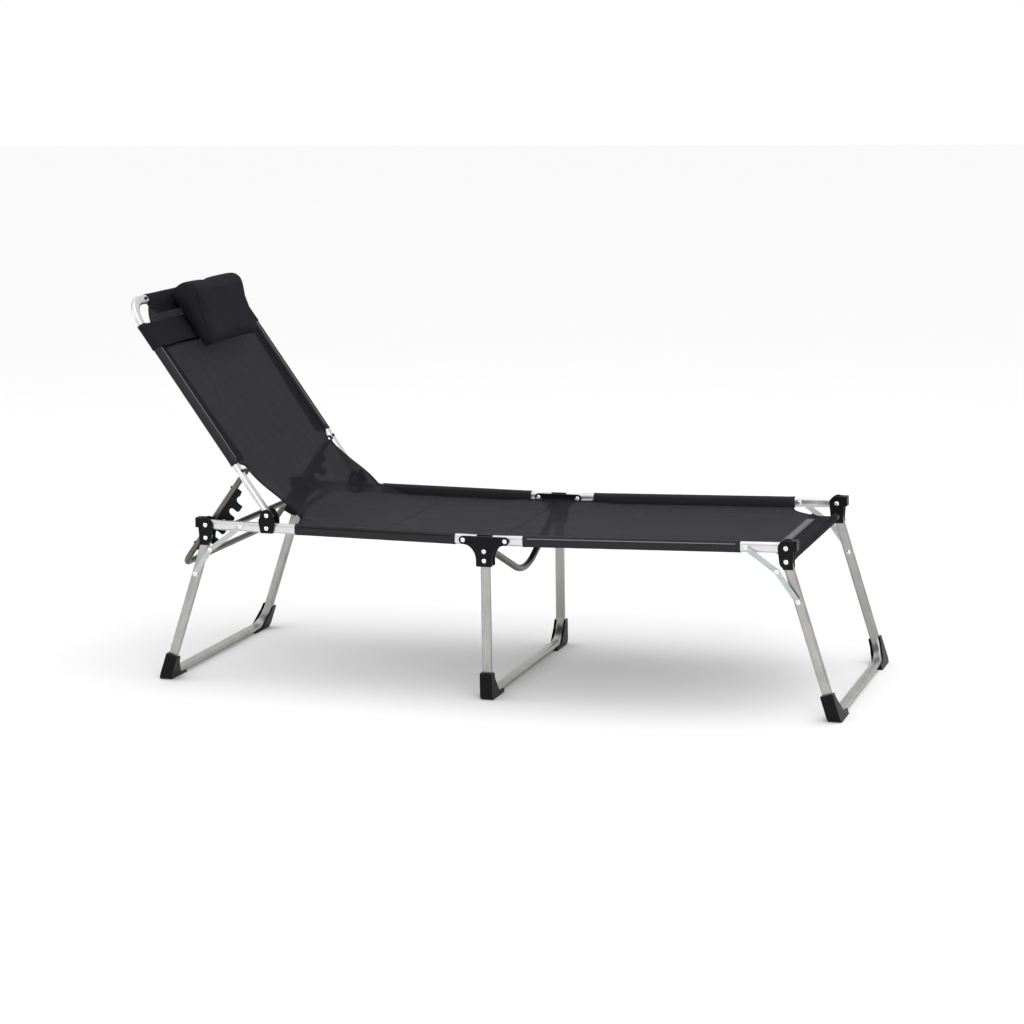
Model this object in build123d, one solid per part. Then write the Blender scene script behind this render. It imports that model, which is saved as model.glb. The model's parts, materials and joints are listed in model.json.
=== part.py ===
from build123d import *
import os
from math import atan2, cos, degrees, hypot, radians, sin

# Reclining sun lounger: three folding leg hoops, two hinged seat halves, a reclining back on a toothed bail,
# and a fabric sling. Millimetres, +Z up, +X towards the foot end, symmetric about Y = 0 except for the pillow.
os.makedirs("parts", exist_ok=True)

# --- seat frame ---------------------------------------------------------------------------------------------
HALF_WIDTH = 304.0            # rail axis from the middle plane
HINGE_X = 52.3                # seat hinge rivets, each side of the middle leg
HINGE_Z = 390.0
RAIL_DEEP = 25.0              # flat-oval rail, upright
RAIL_WIDE = 16.0
WALL = 1.5                    # tube wall
RAIL_TAIL = 32.0              # rail past the seat hinge, towards the middle
RAIL_NOSE = 12.0              # rail past the bracket rivet
FRONT_LENGTH = 677.2          # seat hinge to bracket rivet
REAR_LENGTH = 667.9
FRONT_RISE = 1.185            # slope of each half, in degrees, up towards its end
REAR_RISE = 0.643
LEG_DROP = 31.8               # leg pivot under the bracket rivet

# --- legs ---------------------------------------------------------------------------------------------------
LEG_WIDE = 25.0               # flat-oval leg tube, wide side across the hoop
LEG_THICK = 14.0
LEG_TOP = 10.0                # leg tube past its pivot
LEG_BEND = 62.0               # hoop corner radius
FOOT_AXIS_Z = 12.0            # cross tube of each hoop above the floor
FRONT_LEG_TILT = 17.2         # degrees off the upright
REAR_LEG_TILT = 18.8
MIDDLE_LEG_TOP = 378.0
CAP_WIDE = 30.5
CAP_HIGH = 66.0
CAP_OUT = 318.0               # outer face of the foot caps
CAP_IN = 222.0                # where the cap's tongue ends
CAP_CORNER = 14.0
CAP_SHOULDER = 18.0           # how far the inside of the cap drops below its top
CAP_FILLET = 46.0             # where its inside corner meets the tongue, in from the leg
CAP_TONGUE = 3.0              # top of the tongue under the cross tube's axis
BRACKET_TOP = 19.0            # round of a corner bracket at the rail rivet
BRACKET_LOW = 16.0            # and at the leg rivet
BRACKET_NOSE = 26.0           # its square nose past the rail rivet

# --- plates, links and rivets ---------------------------------------------------------------------------------
GAP = 0.3                     # between pieces that move past each other
CLOSE = 0.02                  # between pieces that are fixed together
PLATE_IN = 312.3              # outer plates: inner and outer face
PLATE_OUT = 317.3
INNER_PLATE_OUT = 295.7       # inner plates: outer and inner face
INNER_PLATE_IN = 291.0
SHANK = 3.0
FIT = 0.05                    # running clearance of a rivet in its hole
HEAD = 5.5
HEAD_HIGH = 2.2
LINK_WIDE = 13.0
UPPER_LINK = (313.9, 315.9)   # the two brace layers, one outside the other
LOWER_LINK = (316.2, 318.2)
WASHER = 7.0
FRONT_BRACE = ((582.0, 0.0), (655.5, -54.7), 96.3)   # rail rivet, knee, leg rivet below the leg pivot
REAR_BRACE = ((576.0, 0.0), (656.6, -60.9), 97.3)

# --- middle plates and carrying bar -----------------------------------------------------------------------------
ARM_END = 10.0                # round end of the T plate's arms
STEM_HALF = 20.0
STEM_BOTTOM = 327.0
LEG_RIVETS_Z = (363.6, 341.1)
BAR_ROUND = 17.0              # dipped bar and foot-end bar
BAR_DIP = 250.0               # where the two slopes of the dipped bar would meet
BAR_SHOULDER = 278.0

# --- backrest ---------------------------------------------------------------------------------------------------
BACK_HINGE = (-557.0, 427.3)
BACK_PLATE_ALONG = 505.7      # rivet through the rail, along it from the seat hinge
BACK_ANGLE = 55.0             # degrees above the horizontal
BACK_LENGTH = 623.0           # hinge to the axis of the top tube
BACK_HALF = 300.2
BACK_WIDE = 25.0
BACK_THICK = 13.0
BACK_BEND = 68.0
BACK_PLATE_IN = 287.4         # inner hinge plate, outer face
BACK_PLATE_THICK = 4.4
BACK_SCREWS = ((125.0, 300.2), (623.0, 207.0))

# --- bail and racks ---------------------------------------------------------------------------------------------
BAIL_AT = 120.0               # bail pivot above the back hinge
BAIL_END = (-797.0, 291.0)    # axis of the bail's cross tube
BAIL_HALF = 279.2
BAIL_ROUND = 15.0
BAIL_BEND = 28.0
RACK_BAR = (-658.0, 396.0)
RACK_BAR_ROUND = 15.0
RACK_START = 46.0
RACK_END = 238.0
RACK_TIP = 42.0               # tooth tips from the bail's axis
RACK_ROOT = 19.0
RACK_PITCH = 36.0
RACK_FIRST_SLOT = 66.0
RACK_SLOT = 19.0
RACK_TEETH = 5
RACK_THICK = 9.0

# --- sling and pillow ---------------------------------------------------------------------------------------------
CLOTH = 1.2
PANEL_DROP = 10.5             # seat panel under the rail axis
PANEL_HALF = 281.0
FRONT_SLEEVE = (43.0, 569.0)  # along each rail, from the seat hinge
REAR_SLEEVE = (22.0, 433.0)
BACK_SLEEVE = (147.0, 560.0)
BACK_PANEL = 2.0              # back panel in front of the tube axis
BEND_HALF = 256.0
HEM_HALF = 190.0
FOOT_HEM_HALF = 245.0
STRAP_WIDE = 19.0
STRAP_HALF = 158.0
STRAP_AT = 638.5
BAND = (490.0, 558.0)
PILLOW_SPAN = (-97.0, 213.0)
PILLOW_LOW = 447.0
PILLOW_HIGH = 628.0
PILLOW_THIN = 36.0
PILLOW_THICK = 74.0

PARTS = {}


def keep(node, shape):
    """Keeps one node's solid or solids under its name."""
    PARTS[node] = shape


def both_sides(shape):
    """A piece made on the left (+Y) together with its mirror image on the right."""
    return shape + mirror(shape, about=Plane.XZ)


def keep_pair(name, shape, place):
    """Keeps a left and a right piece as two nodes."""
    keep(f"{name}_left", place(shape))
    keep(f"{name}_right", place(mirror(shape, about=Plane.XZ)))


def oval_ring(wide, thick, turned=0.0):
    """Section of a flat-oval tube."""
    outer = SlotOverall(wide, thick, rotation=turned)
    return outer - SlotOverall(wide - 2 * WALL, thick - 2 * WALL, rotation=turned)


def rod(x, z, y_from, y_to, radius):
    """Solid round along Y at (x, z)."""
    return Plane(origin=(x, y_from, z), z_dir=(0, 1, 0)) * extrude(Circle(radius), y_to - y_from)


def hole(x, z, y_from=280.0, y_to=322.0):
    """Rivet hole along Y, with running clearance."""
    return rod(x, z, y_from, y_to, SHANK + FIT)


def dome(x, z, y, outward):
    """Domed rivet head that sits on the face at y and bulges outward (+1 or -1)."""
    ball_radius = (HEAD ** 2 + HEAD_HIGH ** 2) / (2 * HEAD_HIGH)
    ball = Pos(x, y + outward * (HEAD_HIGH - ball_radius), z) * Sphere(ball_radius)
    start = y if outward > 0 else y - HEAD_HIGH
    return ball & rod(x, z, start, start + HEAD_HIGH, HEAD)


def rivet(x, z, y_in, y_out):
    """Rivet along Y between two faces, with a domed head on each."""
    return rod(x, z, y_in, y_out, SHANK) + dome(x, z, y_out, 1) + dome(x, z, y_in, -1)


def ring_washer(x, z, y_from, y_to):
    """Spacer washer around a rivet."""
    return rod(x, z, y_from, y_to, WASHER) - hole(x, z)


def plate(sketch, y_from, y_to):
    """Flat plate from a sketch drawn in X and Z, between two Y faces."""
    return extrude(Plane(origin=(0, y_from, 0), x_dir=(1, 0, 0), z_dir=(0, -1, 0)) * sketch, y_from - y_to)


def box_between(low, high):
    """Box from its lowest and highest corners."""
    size = [b - a for a, b in zip(low, high)]
    centre = [(a + b) / 2 for a, b in zip(low, high)]
    return Pos(*centre) * Box(*size)


def strip(start, end, layer):
    """Flat link with round ends and a hole at each, from (x, z) to (x, z)."""
    length = hypot(end[0] - start[0], end[1] - start[1])
    angle = degrees(atan2(end[1] - start[1], end[0] - start[0]))
    middle = Pos((start[0] + end[0]) / 2, (start[1] + end[1]) / 2)
    bar = plate(middle * Rot(Z=angle) * SlotCenterToCenter(length, LINK_WIDE), *layer)
    return bar - hole(*start) - hole(*end)


# --- placing ------------------------------------------------------------------------------------------------------
def place_front(shape):
    """Puts a piece of the foot-end half, made along +X from its hinge, in place."""
    return Pos(HINGE_X, 0, HINGE_Z) * Rot(Y=-FRONT_RISE) * shape


def place_rear(shape):
    """Puts a piece of the head-end half, made along +X from its hinge, in place."""
    turned = Pos(HINGE_X, 0, HINGE_Z) * Rot(Y=-REAR_RISE) * shape
    return mirror(turned, about=Plane.YZ)


def place_middle(shape):
    """The middle frame is made in place."""
    return shape


back_dir = (-cos(radians(BACK_ANGLE)), 0, sin(radians(BACK_ANGLE)))
back_front = (sin(radians(BACK_ANGLE)), 0, cos(radians(BACK_ANGLE)))
back_plane = Plane(origin=(BACK_HINGE[0], 0, BACK_HINGE[1]), x_dir=back_dir, z_dir=back_front)
bail_pivot = (BACK_HINGE[0] + BAIL_AT * back_dir[0], BACK_HINGE[1] + BAIL_AT * back_dir[2])
bail_length = hypot(BAIL_END[0] - bail_pivot[0], BAIL_END[1] - bail_pivot[1])
bail_dir = ((BAIL_END[0] - bail_pivot[0]) / bail_length, 0, (BAIL_END[1] - bail_pivot[1]) / bail_length)
bail_plane = Plane(origin=(bail_pivot[0], 0, bail_pivot[1]), x_dir=bail_dir, z_dir=(-bail_dir[2], 0, bail_dir[0]))


def place_back(shape):
    """Puts a backrest piece, made along +X from the back hinge with its front up, in place."""
    return back_plane.location * shape


def place_bail(shape):
    """Puts a bail piece, made along +X from its pivot with the racks up, in place."""
    return bail_plane.location * shape


# --- leg hoops ----------------------------------------------------------------------------------------------------
def hoop_path(top, reach):
    """Centre line of a leg hoop, hanging down from z = top to its cross tube at -reach."""
    corners = [(0, -HALF_WIDTH, top), (0, -HALF_WIDTH, -reach), (0, HALF_WIDTH, -reach), (0, HALF_WIDTH, top)]
    return FilletPolyline(*corners, radius=LEG_BEND)


def hoop_solid(top, reach, section):
    """Sweeps a section along a leg hoop."""
    start = Plane(origin=(0, -HALF_WIDTH, top), x_dir=(1, 0, 0), z_dir=(0, 0, -1))
    return sweep(start * section, path=hoop_path(top, reach))


def leg_tube(top, reach):
    """Hollow flat-oval hoop."""
    outer = hoop_solid(top, reach, SlotOverall(LEG_WIDE, LEG_THICK))
    inner = hoop_solid(top, reach, SlotOverall(LEG_WIDE - 2 * WALL, LEG_THICK - 2 * WALL))
    return outer - inner


def foot_cap(reach, tilt):
    """Left corner shoe in the hoop's own frame: open on the inside of the bend, with a lip on each side of it."""
    sole = -reach - FOOT_AXIS_Z
    low = sole - FOOT_AXIS_Z / 2
    top = sole + CAP_HIGH
    inside = HALF_WIDTH - LEG_THICK / 2
    outline = Polyline(
        (CAP_OUT, low), (CAP_OUT, top), (inside - GAP, top), (inside - LEG_THICK / 2, top - CAP_SHOULDER),
        (HALF_WIDTH - CAP_FILLET, -reach - 1.0), (CAP_IN, -reach - CAP_TONGUE), (CAP_IN, low), close=True,
    )
    body = extrude(Plane.YZ * make_face(outline), CAP_WIDE / 2, both=True)
    body -= hoop_solid(150 - reach, reach, SlotOverall(LEG_WIDE + 2 * FIT, LEG_THICK + 2 * FIT))
    above = -reach + 2 * LEG_BEND
    bend = FilletPolyline((CAP_IN - 1, -reach), (HALF_WIDTH, -reach), (HALF_WIDTH, above), radius=LEG_BEND)
    bend += Polyline((HALF_WIDTH, above), (CAP_IN - 1, above), (CAP_IN - 1, -reach))
    body -= extrude(Plane.YZ * make_face(bend), LEG_WIDE / 2 + FIT, both=True)
    body = Rot(Y=-tilt) * body
    floor = -reach * cos(radians(tilt)) - FOOT_AXIS_Z
    body -= Pos(0, 0, floor - 50) * Box(400, 800, 100)
    corner = body.edges().filter_by(Axis.X).filter_by(lambda e: e.center().Y > CAP_OUT - 1)
    return Rot(Y=tilt) * fillet(corner.sort_by(Axis.Z)[:1], CAP_CORNER)


# --- middle frame -------------------------------------------------------------------------------------------------
def t_plate():
    """Outline of the middle plate: two arms over the rails, hollow shoulders and a stem down the leg."""
    shoulder = HINGE_Z - ARM_END
    hollow_wide = HINGE_X - STEM_HALF
    hollow_high = hollow_wide + 6.0
    arms = Pos(0, HINGE_Z) * SlotCenterToCenter(2 * HINGE_X, 2 * ARM_END)
    web = Pos(0, shoulder - hollow_high / 2) * Rectangle(2 * HINGE_X, hollow_high)
    for side in (-1, 1):
        web -= Pos(side * HINGE_X, shoulder - hollow_high) * Ellipse(hollow_wide, hollow_high)
    stem = Pos(0, (shoulder + STEM_BOTTOM) / 2) * RectangleRounded(2 * STEM_HALF, shoulder - STEM_BOTTOM, 3)
    return arms + web + stem


middle_reach = -FOOT_AXIS_Z
middle_tube = leg_tube(MIDDLE_LEG_TOP, middle_reach)
for rivet_z in LEG_RIVETS_Z:
    middle_tube -= both_sides(hole(0, rivet_z))
keep("middle_leg", middle_tube)
keep_pair("middle_foot", foot_cap(middle_reach, 0.0), place_middle)

t_holes = hole(HINGE_X, HINGE_Z) + hole(-HINGE_X, HINGE_Z) + hole(0, LEG_RIVETS_Z[0]) + hole(0, LEG_RIVETS_Z[1])
keep_pair("hinge_plate_outer", plate(t_plate(), PLATE_IN, PLATE_OUT) - t_holes, place_middle)
keep_pair("hinge_plate_inner", plate(t_plate(), INNER_PLATE_IN, INNER_PLATE_OUT) - t_holes, place_middle)
hinge_rivets = rivet(HINGE_X, HINGE_Z, INNER_PLATE_IN, PLATE_OUT) + rivet(-HINGE_X, HINGE_Z, INNER_PLATE_IN, PLATE_OUT)
for rivet_z in LEG_RIVETS_Z:
    hinge_rivets += rivet(0, rivet_z, INNER_PLATE_IN, PLATE_OUT)
keep("hinge_rivets", both_sides(hinge_rivets))

bar_z = LEG_RIVETS_Z[0]
bar_end = INNER_PLATE_IN - CLOSE
bar_path = FilletPolyline(
    (0, -bar_end, bar_z), (0, -BAR_SHOULDER, bar_z), (0, 0, BAR_DIP), (0, BAR_SHOULDER, bar_z), (0, bar_end, bar_z),
    radius=[24.0, 200.0, 24.0],
)
bar_start = Plane(origin=(0, -bar_end, bar_z), x_dir=(1, 0, 0), z_dir=(0, 1, 0))
keep("carrying_bar", sweep(bar_start * Circle(BAR_ROUND / 2), path=bar_path)
     - sweep(bar_start * Circle(BAR_ROUND / 2 - WALL), path=bar_path))
panel_z = HINGE_Z - PANEL_DROP
keep("seat_cloth_middle", box_between((-HINGE_X + 1, -PANEL_HALF, panel_z), (HINGE_X - 1, PANEL_HALF, panel_z + CLOTH)))


# --- seat halves --------------------------------------------------------------------------------------------------
def rail(length, holes):
    """Left rail of one half, along +X from the seat hinge."""
    start = Plane(origin=(-RAIL_TAIL, HALF_WIDTH, 0), x_dir=(0, 1, 0), z_dir=(1, 0, 0))
    tube = extrude(start * oval_ring(RAIL_DEEP, RAIL_WIDE, 90), RAIL_TAIL + length + RAIL_NOSE)
    for x in [0.0, length] + holes:
        tube -= hole(x, 0)
    return tube


def corner_bracket(length):
    """Left corner bracket: two cheeks that hold the rail end and the leg, joined past the rail's end."""
    upper = Pos(length, 0) * Circle(BRACKET_TOP)
    lower = Pos(length, -LEG_DROP) * Circle(BRACKET_LOW)
    heel = Pos(length + 4, -LEG_DROP - 12) * Rectangle(24, 12)
    nose = Pos(length + BRACKET_NOSE / 2, 5.5) * Rectangle(BRACKET_NOSE, 24)
    hull = make_face(make_hull((upper + lower).edges()))
    cheek = hull + nose + heel
    holes = hole(length, 0) + hole(length, -LEG_DROP)
    bridge = box_between(
        (length + RAIL_NOSE + 1.0, INNER_PLATE_IN, -6.0), (length + BRACKET_NOSE, PLATE_OUT, 17.5))
    body = plate(cheek, PLATE_IN, PLATE_OUT) + plate(cheek, INNER_PLATE_IN, INNER_PLATE_OUT) + bridge
    return body - holes


def sleeve(start, end, half, deep, wide, turned):
    """Cloth tube round a flat-oval tube, from start to end along X."""
    plane = Plane(origin=(start, half, 0), x_dir=(0, 1, 0), z_dir=(1, 0, 0))
    outer = SlotOverall(deep + 2 * (GAP + CLOTH), wide + 2 * (GAP + CLOTH), rotation=turned)
    inner = SlotOverall(deep + 2 * GAP, wide + 2 * GAP, rotation=turned)
    return extrude(plane * (outer - inner), end - start)


def seat_sling(sleeve_span, panel_start, panel_end):
    """Two rail sleeves and the flat panel between them."""
    sides = both_sides(sleeve(*sleeve_span, HALF_WIDTH, RAIL_DEEP, RAIL_WIDE, 90))
    top = -PANEL_DROP + CLOTH
    wide = box_between((sleeve_span[0], -HALF_WIDTH, -PANEL_DROP), (sleeve_span[1], HALF_WIDTH, top))
    run = box_between((panel_start, -PANEL_HALF, -PANEL_DROP), (panel_end, PANEL_HALF, top))
    start = Plane(origin=(sleeve_span[0] - 1, HALF_WIDTH, 0), x_dir=(0, 1, 0), z_dir=(1, 0, 0))
    room = SlotOverall(RAIL_DEEP + 2 * GAP, RAIL_WIDE + 2 * GAP, rotation=90)
    rail_room = extrude(start * room, sleeve_span[1] - sleeve_span[0] + 2)
    return sides + run + (wide - both_sides(rail_room))


def leg_frame(length, tilt):
    """Turns and moves a hoop piece from its own frame to the half's frame."""
    return Pos(length, 0, -LEG_DROP) * Rot(Y=-tilt)


def leg_reach(length, rise, tilt):
    """Pivot to cross tube, so that the hoop's cross tube stands at its height above the floor."""
    pivot_z = HINGE_Z + length * sin(radians(rise)) - LEG_DROP * cos(radians(rise))
    return (pivot_z - FOOT_AXIS_Z) / cos(radians(tilt))


def folding_half(name, length, rise, tilt, brace, place, extra_holes):
    """Builds the rails, brackets, leg hoop, shoes and braces of one half of the seat."""
    rail_rivet, knee, leg_rivet_down = brace
    rail_x = rail_rivet[0]
    keep_pair(f"{name}_rail", rail(length, [rail_x] + extra_holes), place)
    keep_pair(f"{name}_bracket", corner_bracket(length), place)

    own_tilt = tilt - rise                 # the half itself slopes, so the leg turns a little less in its frame
    at_leg = leg_frame(length, own_tilt)
    reach = leg_reach(length, rise, tilt)
    tube = leg_tube(LEG_TOP, reach)
    tube -= both_sides(hole(0, 0)) + both_sides(hole(0, -leg_rivet_down))
    keep(f"{name}_leg", place(at_leg * tube))
    cap = foot_cap(reach, tilt)
    keep_pair(f"{name}_foot", at_leg * cap, place)

    leg_x = length + leg_rivet_down * sin(radians(own_tilt))
    leg_z = -LEG_DROP - leg_rivet_down * cos(radians(own_tilt))
    upper = strip(rail_rivet, knee, UPPER_LINK)
    lower = strip(knee, (leg_x, leg_z), LOWER_LINK)
    keep(f"{name}_upper_links", place(both_sides(upper)))
    keep(f"{name}_lower_links", place(both_sides(lower)))
    knee_pin = rod(*knee, LOWER_LINK[0], LOWER_LINK[1] + CLOSE, SHANK) + dome(*knee, LOWER_LINK[1] + CLOSE, 1)
    keep(f"{name}_knee_rivets", place(both_sides(knee_pin)))

    tube_in = HALF_WIDTH - RAIL_WIDE / 2 - CLOSE
    leg_in = HALF_WIDTH - LEG_THICK / 2 - CLOSE
    frame_rivets = rivet(length, 0, INNER_PLATE_IN - CLOSE, PLATE_OUT + CLOSE)
    frame_rivets += rivet(length, -LEG_DROP, INNER_PLATE_IN - CLOSE, PLATE_OUT + CLOSE)
    frame_rivets += rivet(rail_x, 0, tube_in, UPPER_LINK[1] + CLOSE)
    keep(f"{name}_rivets", place(both_sides(frame_rivets)))
    leg_rivets = rivet(leg_x, leg_z, leg_in, LOWER_LINK[1] + CLOSE)
    keep(f"{name}_leg_rivets", place(both_sides(leg_rivets)))
    washers = ring_washer(rail_x, 0, HALF_WIDTH + RAIL_WIDE / 2 + CLOSE, UPPER_LINK[0] - CLOSE)
    keep(f"{name}_washers", place(both_sides(washers)))
    spacers = ring_washer(leg_x, leg_z, HALF_WIDTH + LEG_THICK / 2 + CLOSE, LOWER_LINK[0] - CLOSE)
    keep(f"{name}_leg_spacers", place(both_sides(spacers)))


folding_half("front", FRONT_LENGTH, FRONT_RISE, FRONT_LEG_TILT, FRONT_BRACE, place_front, [])
folding_half("rear", REAR_LENGTH, REAR_RISE, REAR_LEG_TILT, REAR_BRACE, place_rear, [BACK_PLATE_ALONG])

# The bar at the foot end lies on the front leg pivots, between the brackets.
foot_bar_half = INNER_PLATE_IN - GAP
foot_bar = rod(FRONT_LENGTH, -LEG_DROP, -foot_bar_half, foot_bar_half, BAR_ROUND / 2)
foot_bar -= rod(FRONT_LENGTH, -LEG_DROP, -foot_bar_half, foot_bar_half, BAR_ROUND / 2 - WALL)
keep("foot_bar", place_front(foot_bar))

# The rack bar lies between the rear rails.
rack_bar_half = HALF_WIDTH - RAIL_WIDE / 2 - CLOSE
rack_bar = rod(*RACK_BAR, -rack_bar_half, rack_bar_half, RACK_BAR_ROUND / 2)
keep("rack_bar", rack_bar - rod(*RACK_BAR, -rack_bar_half, rack_bar_half, RACK_BAR_ROUND / 2 - WALL))


# --- back hinge ---------------------------------------------------------------------------------------------------
def back_plate():
    """Outline of the back hinge plate: a tall oval with a flat foot."""
    top = Pos(*BACK_HINGE) * Circle(15)
    belly = Pos(BACK_HINGE[0], BACK_HINGE[1] - 16) * Circle(21)
    foot = Pos(BACK_HINGE[0], BACK_HINGE[1] - 41) * Rectangle(32, 5)
    return make_face(make_hull((top + belly + foot).edges()))


back_plate_rivet = (-HINGE_X - BACK_PLATE_ALONG * cos(radians(REAR_RISE)),
                    HINGE_Z + BACK_PLATE_ALONG * sin(radians(REAR_RISE)))
back_holes = hole(*BACK_HINGE) + hole(*back_plate_rivet)
keep_pair("back_plate_outer", plate(back_plate(), PLATE_IN + 0.7, PLATE_OUT) - back_holes, place_middle)
inner_face = BACK_PLATE_IN - BACK_PLATE_THICK
keep_pair("back_plate_inner", plate(back_plate(), inner_face, BACK_PLATE_IN) - back_holes, place_middle)
back_rivets = rivet(*BACK_HINGE, inner_face - CLOSE, PLATE_OUT + CLOSE)
back_rivets += rivet(*back_plate_rivet, inner_face - CLOSE, PLATE_OUT + CLOSE)
keep("back_hinge_rivets", both_sides(back_rivets))
spacer_from = BACK_PLATE_IN + CLOSE
spacer_to = HALF_WIDTH - RAIL_WIDE / 2 - CLOSE
keep("back_plate_spacers", both_sides(ring_washer(*back_plate_rivet, spacer_from, spacer_to)))

# --- backrest -----------------------------------------------------------------------------------------------------
back_corners = [(-10, -BACK_HALF, 0), (BACK_LENGTH, -BACK_HALF, 0), (BACK_LENGTH, BACK_HALF, 0), (-10, BACK_HALF, 0)]
back_path = FilletPolyline(*back_corners, radius=BACK_BEND)
back_start = Plane(origin=back_corners[0], x_dir=(0, 1, 0), z_dir=(1, 0, 0))
back_tube = sweep(back_start * SlotOverall(BACK_WIDE, BACK_THICK), path=back_path)
back_tube -= sweep(back_start * SlotOverall(BACK_WIDE - 2 * WALL, BACK_THICK - 2 * WALL), path=back_path)
for hole_x in (0.0, BAIL_AT):
    back_tube -= both_sides(hole(hole_x, 0))
screw_holes = Part()
screws = Part()
for screw_x, screw_y in BACK_SCREWS:
    at_screw = Pos(screw_x, screw_y, BACK_THICK / 2)
    screw_holes += at_screw * Pos(0, 0, -2) * Cylinder(1.6, 6)
    screws += at_screw * (Pos(0, 0, 1.32) * Cylinder(4.2, 2.6) + Pos(0, 0, -2) * Cylinder(1.55, 5.6))
back_tube -= both_sides(screw_holes)
keep("backrest_frame", place_back(back_tube))
keep("backrest_screws", place_back(both_sides(screws)))

bail_bolt = rivet(BAIL_AT, 0, BAIL_HALF - BAIL_ROUND / 2 - 0.3, BACK_HALF + BACK_WIDE / 2 + CLOSE)
keep("bail_bolts", place_back(both_sides(bail_bolt)))

back_sleeves = both_sides(sleeve(*BACK_SLEEVE, BACK_HALF, BACK_WIDE, BACK_THICK, 0))
back_inside = BACK_HALF - BACK_WIDE / 2 - GAP
back_panel = box_between(
    (BACK_SLEEVE[0], -back_inside + 2, BACK_PANEL), (BACK_SLEEVE[1], back_inside - 2, BACK_PANEL + CLOTH))
top_panel = box_between(
    (BACK_SLEEVE[1] - 1, -HEM_HALF, BACK_PANEL), (BACK_LENGTH - BACK_WIDE / 2, HEM_HALF, BACK_PANEL + CLOTH))
hem_plane = Plane(origin=(BACK_LENGTH, -HEM_HALF, 0), x_dir=(1, 0, 0), z_dir=(0, 1, 0))
hem_outer = SlotOverall(BACK_WIDE + 2 * (GAP + CLOTH), BACK_THICK + 2 * (GAP + CLOTH))
hem_inner = SlotOverall(BACK_WIDE + 2 * GAP, BACK_THICK + 2 * GAP)
top_hem = extrude(hem_plane * (hem_outer - hem_inner), 2 * HEM_HALF)
side_links = both_sides(box_between(
    (BACK_SLEEVE[0], back_inside - 4, BACK_PANEL), (BACK_SLEEVE[1], back_inside + 0.2, BACK_PANEL + CLOTH)))
hem_link = box_between(
    (BACK_LENGTH - BACK_WIDE / 2 - 4, -HEM_HALF, BACK_PANEL),
    (BACK_LENGTH - BACK_WIDE / 2 - GAP, HEM_HALF, BACK_PANEL + CLOTH))
keep("back_cloth", place_back(back_sleeves + back_panel + top_panel + top_hem + side_links + hem_link))

band_in = (BACK_HALF + BACK_WIDE / 2 + GAP + CLOTH + GAP, BACK_THICK / 2 + GAP + CLOTH + GAP)
band_long = BAND[1] - BAND[0]
band_at = Pos((BAND[0] + BAND[1]) / 2, 0, 0)
band = band_at * Box(band_long, 2 * (band_in[0] + CLOTH), 2 * (band_in[1] + CLOTH))
band -= band_at * Box(band_long + 2, 2 * band_in[0], 2 * band_in[1])
keep("pillow_band", place_back(band))

pillow_back = band_in[1] + CLOTH + GAP
pillow_profile = Polyline(
    (PILLOW_LOW, pillow_back), (PILLOW_HIGH, pillow_back), (PILLOW_HIGH, pillow_back + PILLOW_THICK - 16),
    (PILLOW_HIGH - 22, pillow_back + PILLOW_THICK), (PILLOW_HIGH - 62, pillow_back + PILLOW_THICK),
    (PILLOW_LOW, pillow_back + PILLOW_THIN), close=True,
)
pillow_start = Plane(origin=(0, -PILLOW_SPAN[0], 0), x_dir=(1, 0, 0), z_dir=(0, -1, 0))
pillow_length = PILLOW_SPAN[1] - PILLOW_SPAN[0]
keep("head_pillow", place_back(extrude(pillow_start * make_face(pillow_profile), pillow_length)))

# --- bail and racks -----------------------------------------------------------------------------------------------
bail_corners = [(-8, -BAIL_HALF, 0), (bail_length, -BAIL_HALF, 0), (bail_length, BAIL_HALF, 0), (-8, BAIL_HALF, 0)]
bail_path = FilletPolyline(*bail_corners, radius=BAIL_BEND)
bail_start = Plane(origin=bail_corners[0], x_dir=(0, 1, 0), z_dir=(1, 0, 0))
bail_tube = sweep(bail_start * Circle(BAIL_ROUND / 2), path=bail_path)
bail_tube -= sweep(bail_start * Circle(BAIL_ROUND / 2 - WALL), path=bail_path)
bail_tube -= both_sides(hole(0, 0, BAIL_HALF - 12, BAIL_HALF + 12))


def rack():
    """Left rack: a bar along the bail with teeth and round-bottomed slots, open away from the bail."""
    low = BAIL_ROUND / 2 - 2.5
    outline = Polyline(
        (RACK_START, low), (RACK_END, low), (RACK_END - 4, RACK_TIP - 10), (RACK_END - 14, RACK_TIP),
        (RACK_START + 12, RACK_TIP - 20), (RACK_START, RACK_TIP - 22), close=True,
    )
    blade = make_face(outline) + Pos((RACK_FIRST_SLOT + RACK_END) / 2, RACK_TIP - 15) * Rectangle(
        RACK_END - RACK_FIRST_SLOT - 14, 30)
    for step in range(RACK_TEETH):
        slot_x = RACK_FIRST_SLOT + step * RACK_PITCH
        blade -= Pos(slot_x, RACK_ROOT + RACK_SLOT / 2) * Circle(RACK_SLOT / 2)
        blade -= Pos(slot_x, RACK_ROOT + RACK_SLOT / 2 + 20) * Rectangle(RACK_SLOT, 40)
    body = plate(blade, BAIL_HALF - RACK_THICK / 2, BAIL_HALF + RACK_THICK / 2)
    tips = [e for e in body.edges().filter_by(Axis.Y) if e.center().Z > RACK_TIP - 0.5]
    body = fillet(tips, 3.0)
    tube_room = Pos(bail_length / 2, BAIL_HALF, 0) * Rot(Y=90) * Cylinder(BAIL_ROUND / 2 + CLOSE, 400)
    return body - tube_room


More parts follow.
